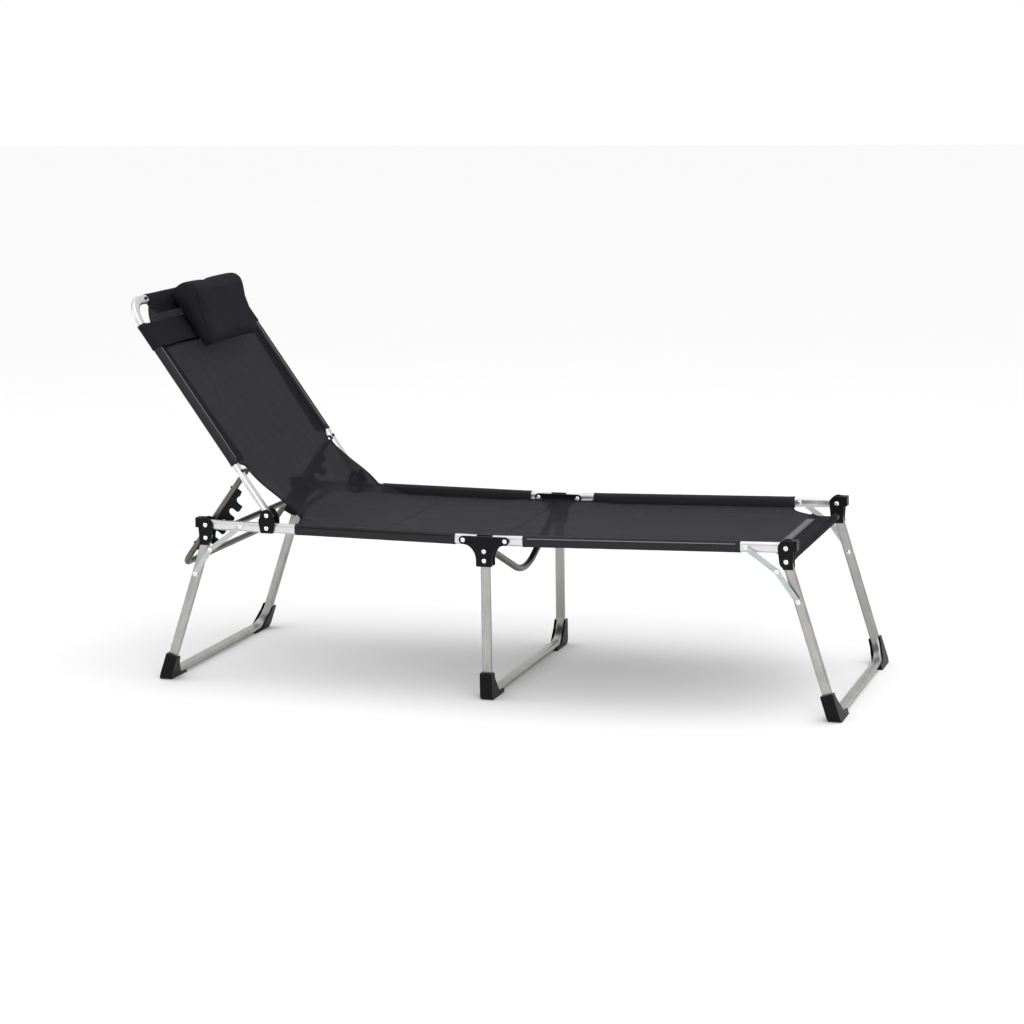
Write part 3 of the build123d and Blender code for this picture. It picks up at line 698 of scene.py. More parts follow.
def cloth_shell(
    name: str, grid: Array, thick: float, uv: Array, material: bpy.types.Material, loop: bool = False
) -> bpy.types.Object:
    """Closed sheet of cloth round a grid of points.

    Args:
        name: Name of the piece.
        grid: Rows and columns of points in the middle of the cloth.
        thick: Its thickness.
        uv: Length and width at each point in metres, with one more column where the cloth is a loop.
        material: Its finish.
        loop: True where the last column meets the first, as round a tube.

    Returns:
        The new object.
    """
    rows, columns = grid.shape[:2]
    normal = surface_normals(grid, loop) * thick / 2
    points = np.concatenate([(grid + normal).reshape(-1, 3), (grid - normal).reshape(-1, 3)])
    under = rows * columns
    faces, corners = [], []

    def quad(cells: Sequence[tuple[int, int, int]]) -> None:
        """Adds one face from its corners, as row, column and side."""
        faces.append([side * under + i * columns + j % columns for i, j, side in cells])
        corners.extend(uv[i, j] for i, j, _ in cells)

    last = columns if loop else columns - 1
    for i in range(rows - 1):
        for j in range(last):
            quad([(i, j, 0), (i + 1, j, 0), (i + 1, j + 1, 0), (i, j + 1, 0)])
            quad([(i, j, 1), (i, j + 1, 1), (i + 1, j + 1, 1), (i + 1, j, 1)])
    for j in range(last):
        quad([(0, j, 0), (0, j + 1, 0), (0, j + 1, 1), (0, j, 1)])
        quad([(rows - 1, j, 0), (rows - 1, j, 1), (rows - 1, j + 1, 1), (rows - 1, j + 1, 0)])
    if not loop:
        for i in range(rows - 1):
            quad([(i, 0, 0), (i, 0, 1), (i + 1, 0, 1), (i + 1, 0, 0)])
            quad([(i, last, 0), (i + 1, last, 0), (i + 1, last, 1), (i, last, 1)])
    mesh = bpy.data.meshes.new(name)
    mesh.from_pydata(points.tolist(), [], faces)
    rims = len(faces) - 2 * (rows - 1) * last
    mesh.polygons.foreach_set("material_index", [0] * (len(faces) - rims) + [1] * rims)
    layer = mesh.uv_layers.new(name="cloth")
    layer.data.foreach_set("uv", np.asarray(corners, np.float32).ravel())
    return finish_mesh(name, mesh, material)


def grid_uv(grid: Array, loop: bool = False) -> Array:
    """Length and width in metres at each point of a grid.

    Args:
        grid: Rows and columns of points.
        loop: True where the last column meets the first.

    Returns:
        Two values for each point, with one more column on a loop.
    """
    wide = np.concatenate([grid, grid[:, :1]], axis=1) if loop else grid
    down = np.linalg.norm(np.diff(wide, axis=0), axis=2).mean(axis=1)
    across = np.linalg.norm(np.diff(wide, axis=1), axis=2)
    length = np.concatenate([[0.0], np.cumsum(down)])
    width = np.concatenate([np.zeros((wide.shape[0], 1)), np.cumsum(across, axis=1)], axis=1)
    width = width - width[:, -1:] / 2
    return np.stack([np.broadcast_to(length[:, None], width.shape), width], axis=2)


class Trim(Enum):
    """What follows a sewn line."""

    STITCH = "sewn_stitches"
    CORD = "round_cord"


def trim_tree(kind: Trim, material: bpy.types.Material) -> bpy.types.NodeTree:
    """Builds the node group that sews stitches, or lays a round cord, along its paths.

    Args:
        kind: Stitches or a cord.
        material: Finish of the thread or cord.

    Returns:
        The node group, with its sizes as named inputs.
    """
    tree = bpy.data.node_groups.new(kind.value, "GeometryNodeTree")
    tree.interface.new_socket("Geometry", in_out="INPUT", socket_type="NodeSocketGeometry")
    for size in ("Spacing", "Length", "Radius"):
        tree.interface.new_socket(size, in_out="INPUT", socket_type="NodeSocketFloat")
    tree.interface.new_socket("Geometry", in_out="OUTPUT", socket_type="NodeSocketGeometry")
    given = add(tree, "NodeGroupInput").outputs
    curve = add(tree, "GeometryNodeMeshToCurve", {"Mesh": given["Geometry"]})
    evened = add(tree, "GeometryNodeResampleCurve", {
        "Curve": curve.outputs[0], "Length": given["Spacing"]}, mode="LENGTH")
    if kind is Trim.STITCH:
        half = add(tree, "ShaderNodeMath", {0: given["Length"], 1: 0.5}, operation="MULTIPLY")
        size = add(tree, "ShaderNodeCombineXYZ", {
            "X": given["Radius"], "Y": given["Radius"], "Z": half.outputs[0]})
        bead = add(tree, "GeometryNodeMeshUVSphere", {"Segments": 6, "Rings": 4, "Radius": 1.0})
        ahead = add(tree, "GeometryNodeInputTangent")
        turn = add(tree, "FunctionNodeAlignRotationToVector", {"Vector": ahead.outputs[0]}, axis="Z")
        made = add(tree, "GeometryNodeInstanceOnPoints", {
            "Points": evened.outputs[0], "Instance": bead.outputs["Mesh"],
            "Rotation": turn.outputs[0], "Scale": size.outputs[0]})
    else:
        ring = add(tree, "GeometryNodeCurvePrimitiveCircle", {
            "Resolution": 8, "Radius": given["Radius"]})
        made = add(tree, "GeometryNodeCurveToMesh", {
            "Curve": evened.outputs[0], "Profile Curve": ring.outputs[0], "Fill Caps": True})
    plain = add(tree, "GeometryNodeRealizeInstances", {"Geometry": made.outputs[0]})
    dressed = add(tree, "GeometryNodeSetMaterial", {"Geometry": plain.outputs[0], "Material": material})
    add(tree, "NodeGroupOutput", {"Geometry": dressed.outputs[0]})
    return tree


def lay_trim(
    name: str, paths: Sequence[Array], kind: Trim, material: bpy.types.Material, radius: float,
    spacing: float = 4.2 * MM, length: float = 3.4 * MM,
) -> bpy.types.Object:
    """Sews stitches, or lays a cord, along paths and gives the plain mesh.

    Args:
        name: Name of the piece.
        paths: The paths, each an array of points.
        kind: Stitches or a cord.
        material: Finish of the thread or cord.
        radius: Its radius.
        spacing: From one stitch to the next, or between the cord's rings.
        length: Length of a stitch.

    Returns:
        The new object.
    """
    points, edges = [], []
    for path in paths:
        first = len(points)
        points.extend(path.tolist())
        edges.extend((i, i + 1) for i in range(first, len(points) - 1))
    mesh = bpy.data.meshes.new(name + "_path")
    mesh.from_pydata(points, edges, [])
    guide = bpy.data.objects.new(name + "_path", mesh)
    bpy.context.scene.collection.objects.link(guide)
    tree = trim_tree(kind, material)
    modifier = guide.modifiers.new("trim", "NODES")
    modifier.node_group = tree
    sizes = {"Spacing": spacing, "Length": length, "Radius": radius}
    for item in tree.interface.items_tree:
        if item.item_type == "SOCKET" and item.in_out == "INPUT" and item.name in sizes:
            modifier[item.identifier] = float(sizes[item.name])
    result = bpy.data.meshes.new_from_object(guide.evaluated_get(bpy.context.evaluated_depsgraph_get()))
    guide.modifiers.remove(modifier)
    bpy.data.objects.remove(guide)
    bpy.data.meshes.remove(mesh)
    bpy.data.node_groups.remove(tree)
    piece = finish_mesh(name, result, material)
    log.info("%s: %d faces along %d paths", name, len(result.polygons), len(paths))
    return piece


# --- the seat's and back's cloth ------------------------------------------------------------------
@dataclass
class SeatCloth:
    """How the seat's cloth lies on one half, between its two rails.

    Attributes:
        run: The half's rails; not used.
        sleeve: Where the sleeves start and end along them.
        half: Half of the cloth's width between the sleeves.
        bare_half: Half of its width where the middle hinges leave it bare.
        level: Height of the cloth's edge off the rails' axis.
        sag: How far its middle hangs lower.
        hinge_lift: How far the bare edge at the middle hinges is pulled up.
        end_lift: How far the edge is pulled up at the sleeve's far end.
        seed: Picks the set of faint waves.
        hinge_reach: How far along the pull at the middle hinges is felt.
        hinge_flat: Distance from the middle plane where that pull starts.
        end_reach: How far along the pull at the far end is felt.
        end_flat: Distance from the middle plane where that pull starts.
        wave: Height of the faint waves.
    """

    run: Run
    sleeve: tuple[float, float]
    end_lift: float
    seed: int
    half: float = 0.2945
    bare_half: float = 0.2795
    level: float = -0.0102
    sag: float = 0.0062
    hinge_lift: float = 0.0072
    hinge_reach: float = 0.090
    hinge_flat: float = 0.130
    end_reach: float = 0.095
    end_flat: float = 0.120
    wave: float = 0.5 * MM

    def height(self, along: Array | float, across: Array | float) -> Array | float:
        """Height of the cloth off the rails' axis.

        Args:
            along: Distance from the middle hinge.
            across: Distance from the middle plane.

        Returns:
            The height.
        """
        side = np.abs(across)
        hang = self.level - self.sag * (1 - (side / self.half) ** 2)
        near_hinge = 1 - ease((along - self.sleeve[0]) / self.hinge_reach)
        near_end = ease((along - self.sleeve[1] + self.end_reach) / self.end_reach)
        pull = self.hinge_lift * near_hinge * ease((side - self.hinge_flat) / 0.15)
        pull = pull + self.end_lift * near_end * ease((side - self.end_flat) / 0.155)
        calm = ease((self.half - side) / 0.05)
        return hang + pull + self.wave * ripple(across, along * 0.15, 0.075, self.seed) * calm

    def width(self, along: Array) -> Array:
        """Half of the cloth's width, which steps in beside the middle hinges."""
        return self.bare_half + (self.half - self.bare_half) * ease((along - self.sleeve[0]) / 0.006 + 0.5)


@dataclass
class BackCloth:
    """How the back's cloth lies between the backrest's two tubes.

    Attributes:
        sleeve: Where the sleeves start and end up the backrest.
        half: Half of its width between the sleeves.
        level: How far its edge lies in front of the tubes' axis.
        sag: How far its middle hangs back.
        calm_from: Where its sag and its waves start to fade, below the head band.
        wave: Height of the faint waves.
    """

    sleeve: tuple[float, float] = (0.147, 0.560)
    half: float = 0.2865
    level: float = 0.0030
    sag: float = 0.0050
    calm_from: float = 0.50
    wave: float = 0.6 * MM

    def height(self, along: Array | float, across: Array | float) -> Array | float:
        """Distance of the cloth in front of the tubes' axis.

        Args:
            along: Distance up from the back hinge.
            across: Distance from the middle plane.

        Returns:
            The distance.
        """
        side = np.abs(across)
        fade = 1 - ease((along - self.calm_from) / 0.10)
        waves = self.wave * ripple(across, along * 0.2, 0.09, 31) * ease((self.half - side) / 0.06)
        return self.level - self.sag * fade * (1 - (side / self.half) ** 2) + waves * fade


class Stretch(Enum):
    """The four stretches that the sling is made in, from the foot end to the top."""

    FOOT_END = "foot_end"
    HEAD_END = "head_end"
    BEND = "bend"
    BACK = "back"


@dataclass
class Sling:
    """The sling from the bar at the foot end to the hem at the top, with its bound edges and its sewing."""

    finishes: Finishes
    front: SeatCloth = field(default_factory=lambda: SeatCloth(FRONT, (0.043, 0.569), 0.0, 11))
    rear: SeatCloth = field(default_factory=lambda: SeatCloth(REAR, (0.022, 0.433), 0.0228, 12))
    back: BackCloth = field(default_factory=BackCloth)
    thick: float = 1.0 * MM
    columns: int = 97
    row_step: float = 0.006
    hand_over: float = 0.250        # along the rear half, where the piece that bends starts
    back_start: float = 0.500       # up the backrest, where it ends under the head band
    bend_half: float = 0.256
    bend_slack: float = 0.018       # how much further its left edge reaches
    bar_radius: float = 8.5 * MM
    bar_drop: float = 0.0318
    foot_half: float = 0.245
    waist_half: float = 0.209
    hem_half: float = 0.190
    tube_half: float = 6.5 * MM     # half the thickness of the backrest's tube
    top_tube: float = 0.623         # its top run, up from the back hinge
    edge_radius: float = 1.5 * MM
    seam_inset: float = 0.008       # from a side of the cloth in to the sewing beside it
    hem_seam: float = 0.596         # up the backrest, the sewing of the hem over the top tube
    grids: dict[Stretch, Array] = field(init=False, default_factory=dict)

    def ratio(self) -> Array:
        """Places of the columns across the cloth, from -1 to 1."""
        return np.linspace(-1, 1, self.columns)

    def foot_spine(self) -> Array:
        """Line of the cloth on the foot-end half: along the seat, down to the bar, round it and back under.

        Returns:
            Distances along and off the rails.
        """
        bar = (float(np.dot(np.subtract(hinge("front_leg_fold"), FRONT.start), FRONT.along)), -self.bar_drop)
        wrap = self.bar_radius + 1.1 * MM
        fall = 9.0
        on_bar = arc(bar, wrap, 90 - fall, -80, 16)
        level = self.front.level
        seat = np.array([[-(FRONT.start[0] - MIDDLE_X), level], [0.52, level]])
        slope = math.tan(math.radians(fall))
        reach = on_bar[0][0] - seat[1][0]
        ramp = bend_curve(
            seat[1], on_bar[0], np.array([reach, 0.0]), np.array([reach, -slope * reach]))
        under = ramp[-9] + np.array([0.0, -2.6 * MM])
        back_up = bend_curve(on_bar[-1], under, np.array([-0.03, 0.0]), np.array([-0.02, 0.004]), 10)
        return np.concatenate([seat, ramp[1:], on_bar[1:], back_up[1:]])

    def foot_width(self, along: Array, past_bar: Array) -> Array:
        """Half of the cloth's width on the foot-end half.

        Args:
            along: Distance along the rails.
            past_bar: True where the cloth has reached the bar.

        Returns:
            The half widths.
        """
        end = self.front.sleeve[1]
        outer = np.array([end, 0.288])
        waist = np.array([end + 0.076, self.waist_half])
        bar = np.array([end + 0.116, self.foot_half])
        sweep = bend_curve(outer, waist, np.array([0.010, -0.150]), np.array([0.060, 0.0]))
        flare = bend_curve(waist, bar, np.array([0.050, 0.0]), np.array([0.020, 0.050]))
        cut = np.concatenate([sweep, flare[1:]])
        width = np.where(along < end, self.front.width(along), np.interp(along, cut[:, 0], cut[:, 1]))
        return np.where(past_bar, self.foot_half, width)

    def foot_grid(self) -> Array:
        """Cloth of the foot-end half.

        Returns:
            Rows and columns of points.
        """
        spine = self.foot_spine()
        spine = even(spine, int(path_length(spine) / (self.row_step * 0.7)))
        past_bar = np.maximum.accumulate(spine[:, 0] > self.front.sleeve[1] + 0.112)
        half = self.foot_width(spine[:, 0], past_bar)
        across = half[:, None] * self.ratio()[None, :]
        along = spine[:, :1] + 0 * across
        fade = np.where(past_bar[:, None], 0.0, 1 - ease((along - 0.54) / 0.12))
        lift = (self.front.height(along, across) - self.front.level) * fade
        return FRONT.at(along, across, spine[:, 1:] + lift)

    def rear_grid(self) -> Array:
        """Cloth of the head-end half, up to the piece that bends.

        Returns:
            Rows and columns of points.
        """
        start = -(MIDDLE_X - REAR.start[0])
        along = np.arange(start, self.hand_over + 0.001, (self.hand_over - start) / 60)
        across = self.rear.width(along)[:, None] * self.ratio()[None, :]
        along = along[:, None] + 0 * across
        return REAR.at(along, across, self.rear.height(along, across))

    def bend_line(self, across: float, count: int) -> Array:
        """Line of the cloth from the seat up to the back, at one distance from the middle.

        Args:
            across: Distance from the middle plane.
            count: Number of points.

        Returns:
            X and Z, evenly spaced.
        """
        side = min(across, self.bend_half) / self.bend_half
        leaves = self.rear.sleeve[1] - 0.075 * (1 - side ** 2)
        lands = self.back.sleeve[0] + 0.060 * (1 - side ** 2)
        seat = np.linspace(self.hand_over, leaves, 30)
        seat_line = REAR.flat(seat, self.rear.height(seat, across))
        back = np.linspace(lands, self.back_start, 50)
        back_line = BACK.flat(back, self.back.height(back, across))
        leave = turned(REAR.along, -math.radians(56) * side ** 4)
        arrive = turned(BACK.along, math.radians(-9) * side ** 3)
        pull = 0.85 * float(np.linalg.norm(back_line[0] - seat_line[-1]))
        curve = bend_curve(seat_line[-1], back_line[0], leave * pull, arrive * pull)
        return even(np.concatenate([seat_line, curve[1:], back_line[1:]]), count)

    def bend_grid(self) -> Array:
        """Cloth that bends between seat and back.

        Returns:
            Rows and columns of points.
        """
        count = 170
        stations = np.linspace(0, self.rear.half, 40)
        lines = np.stack([self.bend_line(float(s), count) for s in stations])
        length = path_length(self.bend_line(self.bend_half, count))
        run = np.linspace(0, length, count)
        seat_part = self.rear.sleeve[1] - self.hand_over
        back_part = length - (self.back_start - self.back.sleeve[0])
        step = 0.012
        free = self.bend_half + self.bend_slack * (self.ratio()[None, :] > 0)
        seat_share = (1 - ease((run - seat_part) / step))[:, None]
        back_share = ease((run - back_part + step) / step)[:, None]
        half = free + (self.rear.half - free) * seat_share
        half = half + (self.back.half - free) * back_share
        across = half * self.ratio()[None, :]
        grid = np.empty((count, self.columns, 3))
        for i in range(count):
            for k in (0, 1):
                grid[i, :, 2 * k] = np.interp(np.abs(across[i]), stations, lines[:, i, k])
            grid[i, :, 1] = across[i]
        return self.crease(grid, run - seat_part, across)

    def crease(self, grid: Array, past: Array, across: Array) -> Array:
        """Presses in the folds that fan out from the two corners where the sleeves end.

        Args:
            grid: Rows and columns of points.
            past: Distance of each row past the corners.
            across: Distance of each point from the middle plane.

        Returns:
            The creased grid.
        """
        normal = surface_normals(grid, False)
        total = np.zeros(across.shape)
        for side, depth, phase in ((-1, 0.0030, 0.4), (1, 0.0022, 1.5)):
            inward = self.bend_half - side * across
            reach = np.hypot(past[:, None] - 0.01, inward)
            fan = np.arctan2(past[:, None] - 0.01, inward)
            fold = np.cos(6.5 * fan + phase) * np.exp(-reach / 0.095) * ease(reach / 0.05)
            total += depth * fold * ease(inward / 0.02)
        fade = ease((past + 0.15) / 0.08) * ease((0.25 - past) / 0.08)
        waves = 0.0008 * ripple(past[:, None] + 0 * across, across, 0.11, 5)
        return grid + normal * (total * 1.3 + waves)[..., None] * fade[:, None, None]

    def back_spine(self) -> Array:
        """Line of the back's cloth: up the back, over the top tube and down behind it.

        Returns:
            Distances up and in front of the tubes' axis.
        """
        wrap = self.tube_half + 0.9 * MM
        low, high = self.top_tube - 6 * MM, self.top_tube + 6 * MM
        level = self.back.level
        front = bend_curve(
            np.array([0.575, level]), np.array([low, wrap]), np.array([0.04, 0]), np.array([0.03, 0]))
        over = arc((high, 0.0), wrap, 90, -90, 16)
        behind = bend_curve(
            np.array([low, -wrap]), np.array([0.580, level - 2.2 * MM]), np.array([-0.03, 0]),
            np.array([-0.03, 0]))
        return np.concatenate([[[self.back_start, level]], front, over, behind])

    def back_grid(self) -> Array:
        """Cloth of the back.

        Returns:
            Rows and columns of points.
        """
        spine = self.back_spine()
        spine = even(spine, int(path_length(spine) / (self.row_step * 0.6)))
        behind = np.maximum.accumulate(spine[:, 0] > self.top_tube)
        end, shoulder = self.back.sleeve[1], 0.252
        cut = bend_curve(
            np.array([end, shoulder]), np.array([self.top_tube - 0.006, self.hem_half]),
            np.array([0.050, -0.030]), np.array([0.010, -0.060]))
        step_in = shoulder + (self.back.half - shoulder) * ease((end - spine[:, 0]) / 0.008)
        half = np.where(spine[:, 0] < end, step_in, np.interp(spine[:, 0], cut[:, 0], cut[:, 1]))
        half = np.where(behind, self.hem_half, half)
        across = half[:, None] * self.ratio()[None, :]
        along = spine[:, :1] + 0 * across
        lift = np.where(behind[:, None], 0.0, self.back.height(along, across) - self.back.level)
        fade = 1 - ease((along - 0.56) / 0.04)
        return BACK.at(along, across, spine[:, 1:] + lift * fade)

    def build(self) -> None:
        """Builds the sling's four pieces, their bound edges and their sewing, and ties the back's piece to the
        backrest.
        """
        self.grids = {
            Stretch.FOOT_END: self.foot_grid(), Stretch.HEAD_END: self.rear_grid(),
            Stretch.BEND: self.bend_grid(), Stretch.BACK: self.back_grid(),
        }
        pieces = {}
        for stretch, grid in self.grids.items():
            name = f"sling_{stretch.value}"
            pieces[stretch] = cloth_shell(name, grid, self.thick, grid_uv(grid), self.finishes.mesh)
            log.info("%s: %d by %d points", name, *grid.shape[:2])
        edges = self.bind_edges()
        for stretch, piece in pieces.items():
            self.tie(piece, stretch, edges[stretch])
        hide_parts("seat_cloth_front")
        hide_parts("seat_cloth_rear", "seat_cloth_middle")
        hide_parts("bend_cloth")
        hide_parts("back_cloth")

    def tie(self, piece: bpy.types.Object, stretch: Stretch, trims: list[bpy.types.Object]) -> None:
        """Ties the back's piece and its trims to the backrest; the other pieces only have their transforms baked.

        Args:
            piece: The piece of cloth.
            stretch: Which stretch of the sling it is.
            trims: Its bound edges and sewing.
        """
        for each in (piece, *trims):
            if stretch is Stretch.FOOT_END:
                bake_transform(each)
            elif stretch is Stretch.HEAD_END:
                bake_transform(each)
            elif stretch is Stretch.BEND:
                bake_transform(each)
            else:
                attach(each, "backrest")

    def bind_edges(self) -> dict[Stretch, list[bpy.types.Object]]:
        """Lays the bound edges along the cloth's free sides and sews its hems.

        Returns:
            The trims of each stretch.
        """
        made = {}
        black, thread = self.finishes.black_cord, self.finishes.black_thread
        for stretch, grid in self.grids.items():
            sides = [grid[rows, column] for rows in self.free_rows(stretch, grid) for column in (0, -1)]
            made[stretch] = [
                lay_trim(f"edge_{stretch.value}", sides, Trim.CORD, black, self.edge_radius, spacing=0.006),
                lay_trim(
                    f"sewing_{stretch.value}", self.seams(stretch, grid), Trim.STITCH, thread, 0.45 * MM),
            ]
        return made

    def free_rows(self, stretch: Stretch, grid: Array) -> list[slice]:
        """Rows of a piece whose sides are free of the frame.

        Args:
            stretch: Which stretch of the sling it is.
            grid: Its points.

        Returns:
            The stretches of rows.
        """
        half, slack = np.abs(grid[:, 0, 1]), 0.5 * MM
        if stretch is Stretch.FOOT_END:
            start = np.argmax(half > self.front.half - slack)
            end = len(half) - np.argmax(half[::-1] > self.front.half - slack) - 1
            return [slice(0, start + 1), slice(end, len(half) - 6)]
        if stretch is Stretch.HEAD_END:
            return [slice(0, np.argmax(half > self.rear.half - slack) + 1)]
        if stretch is Stretch.BEND:
            narrow = np.flatnonzero(half < self.bend_half + 0.03)
            return [slice(narrow[0], narrow[-1] + 1)]
        narrow = np.flatnonzero(half < self.back.half - slack)
        return [slice(narrow[0], len(half))]

    def seams(self, stretch: Stretch, grid: Array) -> list[Array]:
        """Sewn lines of a piece: beside its sleeves, along its free edges and across its hems.

        Args:
            stretch: Which stretch of the sling it is.
            grid: Its points.

        Returns:
            Paths that lie on the cloth.
        """
        normal = surface_normals(grid, False)
        up = np.where(normal[:, :, 2:].mean() < 0, -1.0, 1.0)
        top = grid + up * normal * (self.thick / 2 + SKIN)
        half = np.abs(grid[:, 0, 1])
        under_bar, before_bar = 14, 9       # rows of the foot-end cloth
        paths = []
        for side in (-1, 1):
            place = np.clip((1 - self.seam_inset / half) * side, -1, 1)
            column = (place + 1) / 2 * (self.columns - 1)
            path = np.stack([self.between(top[i], column[i]) for i in range(grid.shape[0])])
            paths.append(path[:-under_bar] if stretch is Stretch.FOOT_END else path)
        if stretch is Stretch.BACK:
            paths.append(top[int(np.argmin(np.abs(self.rows_up(grid) - self.hem_seam)))])
        if stretch is Stretch.FOOT_END:
            paths.append(top[int(np.argmax(grid[:, 0, 0])) - before_bar])
        return paths

    @staticmethod
    def between(row: Array, column: float) -> Array:
        """Point of a row at a place between two columns."""
        low = min(int(column), len(row) - 2)
        return row[low] + (row[low + 1] - row[low]) * (column - low)

    @staticmethod
    def rows_up(grid: Array) -> Array:
        """Distance of each row up the backrest, on its front side.

        Args:
            grid: Points of the back's cloth.

        Returns:
            The distances, and 0 behind the backrest.
        """
        middle = grid[:, grid.shape[1] // 2]
        up = (middle[:, [0, 2]] - np.asarray(BACK.start)) @ BACK.along
        return np.where(np.arange(len(up)) <= int(np.argmax(up)), up, 0.0)


# --- sleeves --------------------------------------------------------------------------------------
@dataclass
class Sleeve:
    """A sleeve of cloth sewn round one flat-oval tube, with a turned hem at each end.

    Attributes:
        name: Name of the piece.
        run: The run of the tube.
        body: The body it rides on.
        side: -1 on the right, +1 on the left.
        centre: Distance of the tube from the middle plane.
        span: Where the sleeve starts and ends along the tube.
        tall: Half of the tube's section off the run.
        wide: Half of its section across.
        cord_angle: Where its piping lies round the section in degrees, 0 outwards.
        cord_span: Where the piping starts and ends.
        grey: True where the piping is the grey one, whose light colour is a painted highlight of the sleeve's
            rounded upper edge.
        gap: From the tube to the middle of the cloth.
        hem: Width of the turned hem at each end.
        crumple: Half of the height of its faint waves.
        turn_in: How much further out the turned hem stands.
    """

    name: str
    run: Run
    body: str
    side: int
    centre: float
    span: tuple[float, float]
    tall: float
    wide: float
    cord_angle: float
    cord_span: tuple[float, float]
    grey: bool
    gap: float = 0.78 * MM
    thick: float = 0.9 * MM
    around: int = 32
    hem: float = 9.0 * MM
    cord_radius: float = 1.15 * MM
    crumple: float = 0.11 * MM
    turn_in: float = 0.32 * MM

    def section(self, extra: float = 0.0) -> Array:
        """Closed section of the sleeve, across and off the run, outwards first.

        Args:
            extra: Distance that it stands further out.

        Returns:
            The section's points.
        """
        radius = min(self.tall, self.wide) + self.gap + extra
        long = max(self.tall, self.wide) - min(self.tall, self.wide)
        angles = np.radians(np.linspace(0, 360, 6 * self.around, endpoint=False))
        across, off = radius * np.cos(angles), radius * np.sin(angles)
        if self.tall > self.wide:
            off = off + np.sign(np.sin(angles)) * long
        else:
            across = across + np.sign(np.cos(angles)) * long
        closed = np.stack([across, off], axis=1)
        closed = np.concatenate([closed, closed[:1]])
        return even(closed, self.around + 1)[:-1]

    def build(self, finishes: Finishes) -> None:
        """Builds the sleeve and its piping and ties them to the tube.

        Args:
            finishes: The lounger's finishes.
        """
        low, high = self.span
        along = np.linspace(low, high, int((high - low) / 0.006) + 1)
        inset = np.minimum(along - low, high - along)
        section = self.section()
        out = section / np.linalg.norm(section, axis=1, keepdims=True)
        round_it = 0.01 * np.arange(self.around)[None, :]
        slack = self.crumple * (1 + ripple(along[:, None], round_it, 0.05, len(self.name)))
        hem = self.turn_in * (1 - ease((inset - self.hem) / (1.5 * MM)))[:, None]
        grown = section[None, :, :] + out[None, :, :] * (slack + hem)[..., None]
        across = self.side * (self.centre + grown[..., 0])
        grid = self.run.at(along[:, None] + 0 * across, across, grown[..., 1])
        sleeve = cloth_shell(
            self.name, grid, self.thick, grid_uv(grid, loop=True), finishes.sleeve, loop=True)
        angle = math.radians(self.cord_angle)
        proud = self.section(self.thick / 2 + 0.35 * MM)
        ray = np.array([math.cos(angle), math.sin(angle)])
        facing = (proud / np.linalg.norm(proud, axis=1, keepdims=True)) @ ray
        best = proud[int(np.argmax(facing))]
        line = np.linspace(*self.cord_span, 60)
        path = self.run.at(line, self.side * (self.centre + best[0]) + 0 * line, best[1] + 0 * line)
        # The grey piping's colour is a painted highlight of the sleeve's upper edge, laid on a piping cord.
        finish = finishes.highlight_grey_cord if self.grey else finishes.black_cord
        cord = lay_trim(
            self.name + "_piping", [path], Trim.CORD, finish, self.cord_radius, spacing=0.008)
        for piece in (sleeve, cord):
            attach(piece, self.body)
        log.info("%s: %d by %d points", self.name, *grid.shape[:2])


def build_sleeves(sling: Sling) -> None:
    """Builds the six sleeves, two on each half of the seat and two on the backrest.

    Args:
        sling: The sling they are sewn to.
    """
    bare = 0.011        # how far the piping stops short of a seat sleeve's end
    # The front seat sleeves and the back sleeves get the grey piping, a painted highlight; the rear seat sleeves
    # get black piping.
    seat = ((FRONT, "foot_end", "front_half", sling.front.sleeve, True),
            (REAR, "head_end", "rear_half", sling.rear.sleeve, False))
    for side, word in ((-1, "right"), (1, "left")):
        for run, end, body, span, grey in seat:
            Sleeve(
                f"sleeve_{end}_{word}", run, body, side, centre=0.304, span=span, tall=12.5 * MM,
                wide=8.0 * MM, cord_angle=33.0, cord_span=(span[0] + bare, span[1] - bare), grey=grey,
            ).build(sling.finishes)
        Sleeve(
            f"sleeve_back_{word}", BACK, "backrest", side, centre=0.3002, span=sling.back.sleeve,
            tall=6.5 * MM, wide=12.5 * MM, cord_angle=136.0, cord_span=(0.161, 0.488), grey=True,
        ).build(sling.finishes)


@dataclass
class BackHem:
    """The doubled cloth beside each sleeve of the back, which is why it looks darker there.

    Attributes:
        sling: The sling it is sewn to.
        low_half: Distance of its inner edge from the middle plane at the bottom.
        high_half: The same at the top.
        behind: How far it lies behind the back's own cloth.
        thick: Its thickness.
        short: How far it stops short of the sleeve's ends.
    """

    sling: Sling
    low_half: float = 0.236
    high_half: float = 0.262
    behind: float = 1.4 * MM
    thick: float = 0.9 * MM
    short: float = 0.004

    def build(self) -> None:
        """Builds the doubled cloth on both sides, behind the back's own cloth."""
        cloth = self.sling.back
        for side, word in ((-1, "right"), (1, "left")):
            along = np.linspace(cloth.sleeve[0] + self.short, cloth.sleeve[1] - self.short, 60)
            inner = np.interp(along, [along[0], along[-1]], [self.low_half, self.high_half])
            ratio = np.linspace(0, 1, 9)[None, :]
            across = side * (inner[:, None] * (1 - ratio) + (cloth.half - 0.001) * ratio)
            place = along[:, None] + 0 * across
            grid = BACK.at(place, across, cloth.height(place, across) - self.behind)
            piece = cloth_shell(
                f"doubled_edge_{word}", grid, self.thick, grid_uv(grid), self.sling.finishes.mesh)
            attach(piece, "backrest")


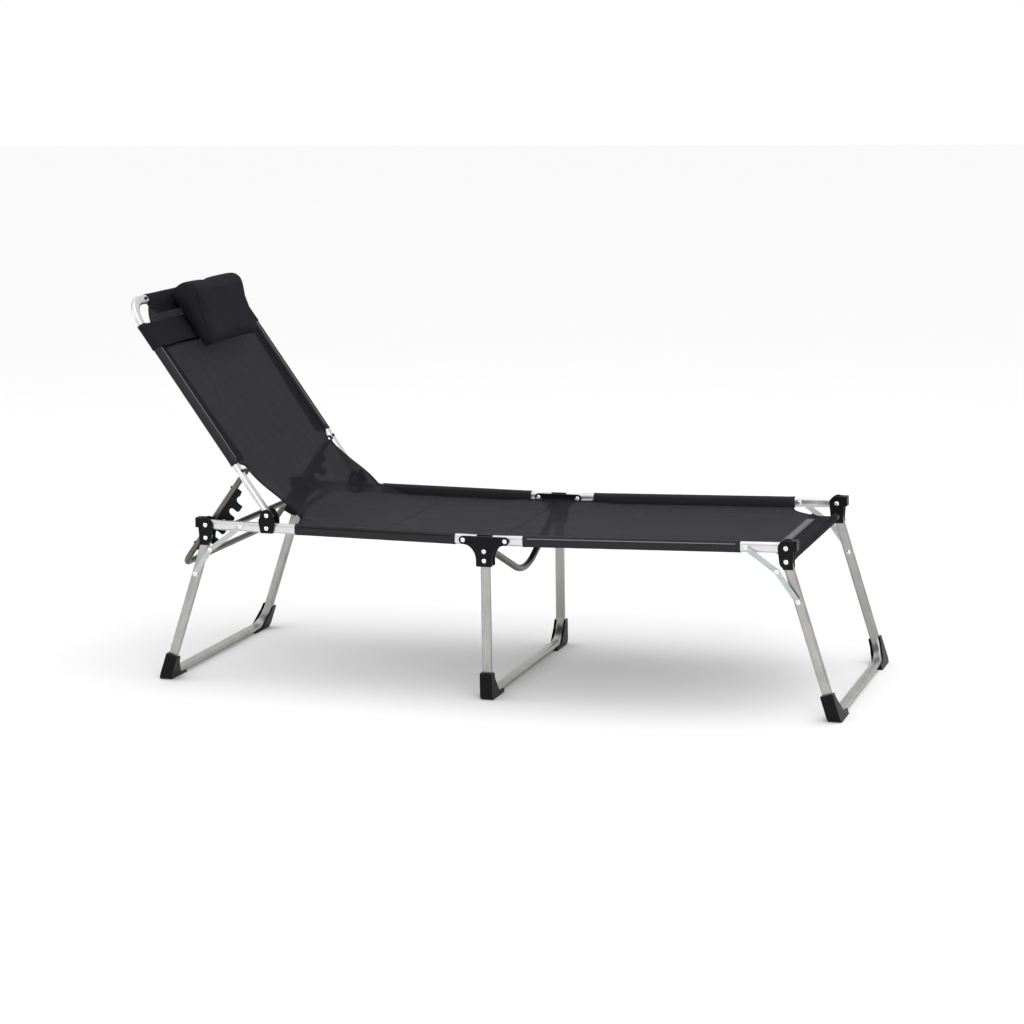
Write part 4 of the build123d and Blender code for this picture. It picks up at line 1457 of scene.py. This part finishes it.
# --- tape at the foot end -------------------------------------------------------------------------
@dataclass
class FootTape:
    """The grey woven tape sewn across the cloth before the bar at the foot end.

    Attributes:
        sling: The sling it is sewn on.
        place: Distance of its middle along the foot-end half.
        width: Its width.
        half: Half of its length.
    """

    sling: Sling
    place: float = 0.6385
    width: float = 0.019
    half: float = 0.158
    thick: float = 1.0 * MM

    def build(self) -> None:
        """Builds the tape and the sewing round it."""
        spine = even(self.sling.foot_spine(), 900)
        spine = spine[:int(np.argmax(spine[:, 0]))]
        along = np.linspace(self.place - self.width / 2, self.place + self.width / 2, 7)
        off = np.interp(along, spine[:, 0], spine[:, 1])
        across = np.linspace(-self.half, self.half, 80)
        cloth = self.sling.front
        place = along[:, None] + 0 * across[None, :]
        fade = 1 - ease((place - 0.54) / 0.12)
        lift = (cloth.height(place, across[None, :]) - cloth.level) * fade
        rise = (self.sling.thick + self.thick) / 2 + 0.1 * MM
        grid = FRONT.at(place, across[None, :] + 0 * place, off[:, None] + lift + rise)
        uv = grid_uv(grid)[..., ::-1]
        piece = cloth_shell("foot_tape", grid, self.thick, uv, self.sling.finishes.tape)
        inner = grid[1:-1, 2:-2] + np.array([0, 0, self.thick / 2 + SKIN])
        loop = np.concatenate([inner[0], inner[:, -1][1:], inner[-1][::-1][1:], inner[:, 0][::-1][1:]])
        thread = self.sling.finishes.black_thread
        sewing = lay_trim("foot_tape_sewing", [loop], Trim.STITCH, thread, 0.4 * MM)
        for each in (piece, sewing):
            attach(each, "front_half")
        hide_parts("foot_strap")
        log.info("foot_tape: %.0f by %.0f mm", 2 * self.half / MM, self.width / MM)


# --- pillow ---------------------------------------------------------------------------------------
@dataclass
class HeadBand:
    """The broad band round the backrest that the pillow is sewn to.

    Attributes:
        finishes: The lounger's finishes.
        span: Its lower and upper edge up the backrest.
        reach: Distance from the middle plane to the centre of its bend round the tubes.
        round: Radius of that bend.
    """

    finishes: Finishes
    span: tuple[float, float] = (0.490, 0.558)
    reach: float = 0.3062
    round: float = 8.9 * MM
    thick: float = 1.2 * MM

    def build(self) -> None:
        """Builds the band, a closed loop with a turned hem at each edge, and its sewing."""
        loop = np.concatenate([
            arc((self.reach, 0.0), self.round, -90, 90, 14),
            np.stack([np.linspace(self.reach, -self.reach, 90)[1:-1], np.full(88, self.round)], axis=1),
            arc((-self.reach, 0.0), self.round, 90, 270, 14),
            np.stack([np.linspace(-self.reach, self.reach, 90)[1:-1], np.full(88, -self.round)], axis=1),
        ])
        along = np.linspace(self.span[0], self.span[1], 15)
        inset = np.minimum(along - self.span[0], self.span[1] - along)
        hem = 0.4 * MM * (1 - ease((inset - 0.008) / 0.002))
        off = loop[None, :, 1] + np.sign(loop[None, :, 1]) * hem[:, None]
        sway = 1.2 * MM * ripple(loop[:, 0], 0 * loop[:, 0], 0.21, 8)[None, :]
        middle = np.clip(np.cos(loop[:, 0] / self.reach * math.pi / 2), 0, 1)[None, :]
        off = off - 1.6 * MM * middle * (off > 0)
        place = along[:, None] + sway * (1 - inset / inset.max())[:, None]
        grid = BACK.at(place, loop[None, :, 0] + 0 * place, off)
        uv = grid_uv(grid, loop=True)[..., ::-1]
        band = cloth_shell("head_band", grid, self.thick, uv, self.finishes.band, loop=True)
        normal = np.array([BACK.off[0], 0, BACK.off[1]]) * (self.thick / 2 + SKIN)
        face = grid[:, 14:102]      # the columns between the two bends, in front
        sewing = lay_trim(
            "head_band_sewing", [face[2] + normal, face[-3] + normal], Trim.STITCH,
            self.finishes.black_thread, 0.4 * MM)
        for piece in (band, sewing):
            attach(piece, "backrest")
        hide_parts("pillow_band")


@dataclass
class Pillow:
    """The wedge-shaped head pillow: flat behind, thin below, full at the top, with an end panel on each side.

    Attributes:
        finishes: The lounger's finishes.
        ends: Its right and left end across the backrest.
        low: Its lower edge up the backrest.
        high: Its upper edge.
        back: How far its flat back lies in front of the tubes' axis.
        thin: Its thickness at the lower edge.
        full: Its thickness near the top.
        voxel: Size of the mesh that is simulated.
        cap: The furthest that a point may swell.
    """

    finishes: Finishes
    ends: tuple[float, float] = (-0.095, 0.211)
    low: float = 0.449
    high: float = 0.627
    back: float = 10.2 * MM
    thin: float = 0.034
    full: float = 0.072
    voxel: float = 4.5 * MM
    cap: float = 6.0 * MM
    swell: float = 3.0 * MM         # how much smaller than its final size the pillow starts
    corner: float = 0.030           # radius of its upper corner
    toe: float = 0.012              # and of its lower one
    piping_inset: float = 0.011     # from an end to the piped seam beside it

    def profile(self) -> Array:
        """Section of the pillow before it is filled.

        Returns:
            Distances up the backrest and off it.
        """
        low, high = self.low + self.swell, self.high - self.swell
        top, foot = self.back + self.full - self.swell, self.back + self.thin - self.swell
        crown = (high - self.corner, top - self.corner)
        toe = (low + self.toe, foot - self.toe)
        flat_back = [
            [low, self.back + 0.004], [low + 0.004, self.back], [high - 0.008, self.back],
            [high, self.back + 0.008]]
        return np.concatenate([
            flat_back, arc(crown, self.corner, 0, 100, 10), arc(toe, self.toe, 105, 180, 6)])

    def solid(self) -> bpy.types.Object:
        """Carries the pillow's section across, with rounded ends.

        Returns:
            The pillow before it is filled.
        """
        section = even(np.concatenate([self.profile(), self.profile()[:1]]), 81)[:-1]
        middle = section.mean(axis=0)
        across = np.array([0.0, 0.003, 0.009, 0.018]) + self.ends[0] + self.swell
        shrink = np.array([0.94, 0.975, 0.99, 1.0])
        inner = np.linspace(across[-1] + 0.01, -across[-1] + sum(self.ends) - 0.01, 24)
        places = np.concatenate([across, inner, sum(self.ends) - across[::-1]])
        sizes = np.concatenate([shrink, np.ones(24), shrink[::-1]])
        grid = np.stack([
            BACK.at(
                middle[0] + (section[:, 0] - middle[0]) * size, np.full(len(section), place),
                np.maximum(middle[1] + (section[:, 1] - middle[1]) * size, self.back))
            for place, size in zip(places, sizes)])
        rows, columns = grid.shape[:2]
        faces = []
        for i in range(rows - 1):
            for j in range(columns):
                here, there, beside = i * columns, (i + 1) * columns, (j + 1) % columns
                faces.append([here + j, there + j, there + beside, here + beside])
        faces += [list(range(columns)), list(range((rows - 1) * columns, rows * columns))[::-1]]
        mesh = bpy.data.meshes.new("head_pillow_form")
        mesh.from_pydata(grid.reshape(-1, 3).tolist(), [], faces)
        return finish_mesh("head_pillow_cloth", mesh, self.finishes.pillow)

    def fill(self, piece: bpy.types.Object) -> None:
        """Fills the pillow by cloth simulation under pressure, with its back held flat.

        Args:
            piece: The pillow, which is changed.
        """
        remesh = piece.modifiers.new("remesh", "REMESH")
        remesh.mode = "VOXEL"
        remesh.voxel_size = self.voxel
        self.apply(piece)
        rest = np.array([v.co for v in piece.data.vertices])
        cloth = piece.modifiers.new("cloth", "CLOTH").settings
        cloth.use_pressure = True
        cloth.uniform_pressure_force = 4.0
        cloth.effector_weights.gravity = 0.0
        cloth.tension_stiffness = 22.0
        cloth.bending_stiffness = 0.8
        scene = bpy.context.scene
        for step in range(1, 21):
            scene.frame_set(step)
        self.apply(piece)
        scene.frame_set(1)
        moved = np.array([v.co for v in piece.data.vertices]) - rest
        reach = np.linalg.norm(moved, axis=1, keepdims=True)
        moved = moved * np.minimum(1.0, self.cap / np.maximum(reach, 1e-9))
        place = rest + moved
        off = (place[:, [0, 2]] - np.asarray(BACK.start)) @ BACK.off
        push = np.maximum(self.back - off, 0.0)
        place[:, 0] += push * BACK.off[0]
        place[:, 2] += push * BACK.off[1]
        piece.data.vertices.foreach_set("co", place.astype(np.float32).ravel())
        smooth = piece.modifiers.new("smooth", "CORRECTIVE_SMOOTH")
        smooth.use_only_smooth = True
        smooth.iterations = 6
        piece.modifiers.new("round", "SUBSURF").levels = 1
        piece.modifiers["round"].render_levels = 1
        self.apply(piece)

    @staticmethod
    def apply(piece: bpy.types.Object) -> None:
        """Makes the result of a piece's modifiers its own mesh and removes them.

        Args:
            piece: The piece, which is changed.
        """
        made = bpy.data.meshes.new_from_object(piece.evaluated_get(bpy.context.evaluated_depsgraph_get()))
        piece.modifiers.clear()
        old, piece.data = piece.data, made
        bpy.data.meshes.remove(old)

    def seam(self, piece: bpy.types.Object, across: float) -> Array:
        """Path of the seam round one end, found on the filled pillow.

        Args:
            piece: The filled pillow.
            across: Where the seam lies across the backrest.

        Returns:
            A closed path on the surface.
        """
        tree = BVHTree.FromPolygons(
            [v.co for v in piece.data.vertices], [p.vertices for p in piece.data.polygons])
        middle = self.profile().mean(axis=0)
        centre = Vector(BACK.at(middle[0], across, middle[1]))
        path = []
        for angle in np.radians(np.linspace(0, 360, 73)):
            flat = math.cos(angle) * BACK.along + math.sin(angle) * BACK.off
            ray = Vector((flat[0], 0, flat[1]))
            path.append(tree.ray_cast(centre + ray * 0.3, -ray)[0])
        return np.array(path)

    def build(self) -> None:
        """Builds the filled pillow with a piped seam round each end."""
        piece = self.solid()
        self.fill(piece)
        for face in piece.data.polygons:
            face.use_smooth = True
        right, left = self.ends[0] + self.piping_inset, self.ends[1] - self.piping_inset
        seams = [self.seam(piece, right), self.seam(piece, left)]
        piping = lay_trim(
            "head_pillow_piping", seams, Trim.CORD, self.finishes.black_cord, 1.3 * MM, spacing=0.005)
        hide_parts("head_pillow")
        for each in (piece, piping):
            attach(each, "backrest")
        log.info("head_pillow_cloth: %d faces", len(piece.data.polygons))


# --- studio ---------------------------------------------------------------------------------------
@dataclass
class Studio:
    """A pale floor, soft light and the camera.

    Attributes:
        eye: Where the camera stands.
        yaw: How far it is turned from +Y towards -X, in radians.
        pitch: How far it looks up.
        roll: How far it is tipped.
        lens: Its focal length on a 36 mm sensor.
    """

    eye: tuple[float, float, float] = (2.01789, -6.2160, 1.5767)
    yaw: float = 0.31365
    pitch: float = -0.17774
    roll: float = -0.01512
    lens: float = 93.87
    rim_glow: float = 0.64          # brightness of the surround at the horizon
    top_glow: float = 1.22          # and overhead

    def camera(self) -> None:
        """Makes the camera."""
        level = math.cos(self.pitch)
        ahead = Vector((
            -math.sin(self.yaw) * level, math.cos(self.yaw) * level, math.sin(self.pitch)))
        right = ahead.cross(Vector((0, 0, 1))).normalized()
        up = right.cross(ahead)
        turned_right = right * math.cos(self.roll) + up * math.sin(self.roll)
        turned_up = up * math.cos(self.roll) - right * math.sin(self.roll)
        data = bpy.data.cameras.new("camera")
        data.lens = self.lens
        data.sensor_width = 36.0
        camera = bpy.data.objects.new("camera", data)
        turn = Matrix((turned_right, turned_up, -ahead)).transposed().to_4x4()
        camera.matrix_world = Matrix.Translation(Vector(self.eye)) @ turn
        bpy.context.scene.collection.objects.link(camera)
        bpy.context.scene.camera = camera

    def floor(self) -> None:
        """Makes the plain pale floor."""
        half = 30.0
        mesh = bpy.data.meshes.new("floor")
        corners = [(-half, -half, 0), (half, -half, 0), (half, half, 0), (-half, half, 0)]
        mesh.from_pydata(corners, [], [(0, 1, 2, 3)])
        material, tree, shader = start_material("matt_white_paint")
        place = add(tree, "ShaderNodeTexCoord").outputs["Object"]
        mottle = add(tree, "ShaderNodeTexNoise", {"Vector": place, "Scale": 3.0})
        colour = two_tone(tree, mottle.outputs["Fac"], "#f6f6f6", "#f8f8f8")
        tree.links.new(colour, shader.inputs["Base Color"])
        shader.inputs["Roughness"].default_value = 0.9
        mesh.materials.append(material)
        floor = bpy.data.objects.new("floor", mesh)
        bpy.context.scene.collection.objects.link(floor)

    def lights(self) -> None:
        """Makes the soft boxes and the bright surround."""
        scene = bpy.context.scene
        scene.view_settings.view_transform = "Standard"
        world = bpy.data.worlds.new("surround")
        scene.world = world
        world.use_nodes = True
        tree = world.node_tree
        up = add(tree, "ShaderNodeSeparateXYZ", {
            "Vector": add(tree, "ShaderNodeTexCoord").outputs["Generated"]}).outputs["Z"]
        glow = add(tree, "ShaderNodeMapRange", {
            "Value": up, "From Min": 0.0, "From Max": 1.0, "To Min": self.rim_glow,
            "To Max": self.top_glow})
        seen = add(tree, "ShaderNodeLightPath").outputs["Is Camera Ray"]
        strength = add(tree, "ShaderNodeMix", {"Factor": seen, "A": glow.outputs["Result"], "B": 1.0})
        surround = tree.nodes["Background"]
        surround.inputs["Color"].default_value = linear("#ffffff")
        tree.links.new(strength.outputs["Result"], surround.inputs["Strength"])
        boxes = (("key_box", (2.2, -4.0, 3.4), 2.2, 60.0), ("top_box", (0.6, 0.4, 4.2), 3.0, 22.0),
                 ("side_box", (-4.4, -1.6, 2.2), 1.8, 20.0))
        for name, place, size, power in boxes:
            data = bpy.data.lights.new(name, "AREA")
            data.size = size
            data.energy = power
            light = bpy.data.objects.new(name, data)
            aim = (Vector((0, 0, 0.4)) - Vector(place)).to_track_quat("-Z", "Y").to_matrix().to_4x4()
            light.matrix_world = Matrix.Translation(Vector(place)) @ aim
            scene.collection.objects.link(light)

    def build(self) -> None:
        """Makes the camera, the floor and the lights."""
        self.camera()
        self.floor()
        self.lights()


def main() -> None:
    """Builds the lounger round its frame, in order."""
    logging.basicConfig(level=logging.INFO, format="%(message)s")
    Studio().build()
    finishes = Finishes()
    finishes.dress_frame()
    sling = Sling(finishes)
    sling.build()
    build_sleeves(sling)
    BackHem(sling).build()
    FootTape(sling).build()
    HeadBand(finishes).build()
    Pillow(finishes).build()


if __name__ == "__main__":
    main()
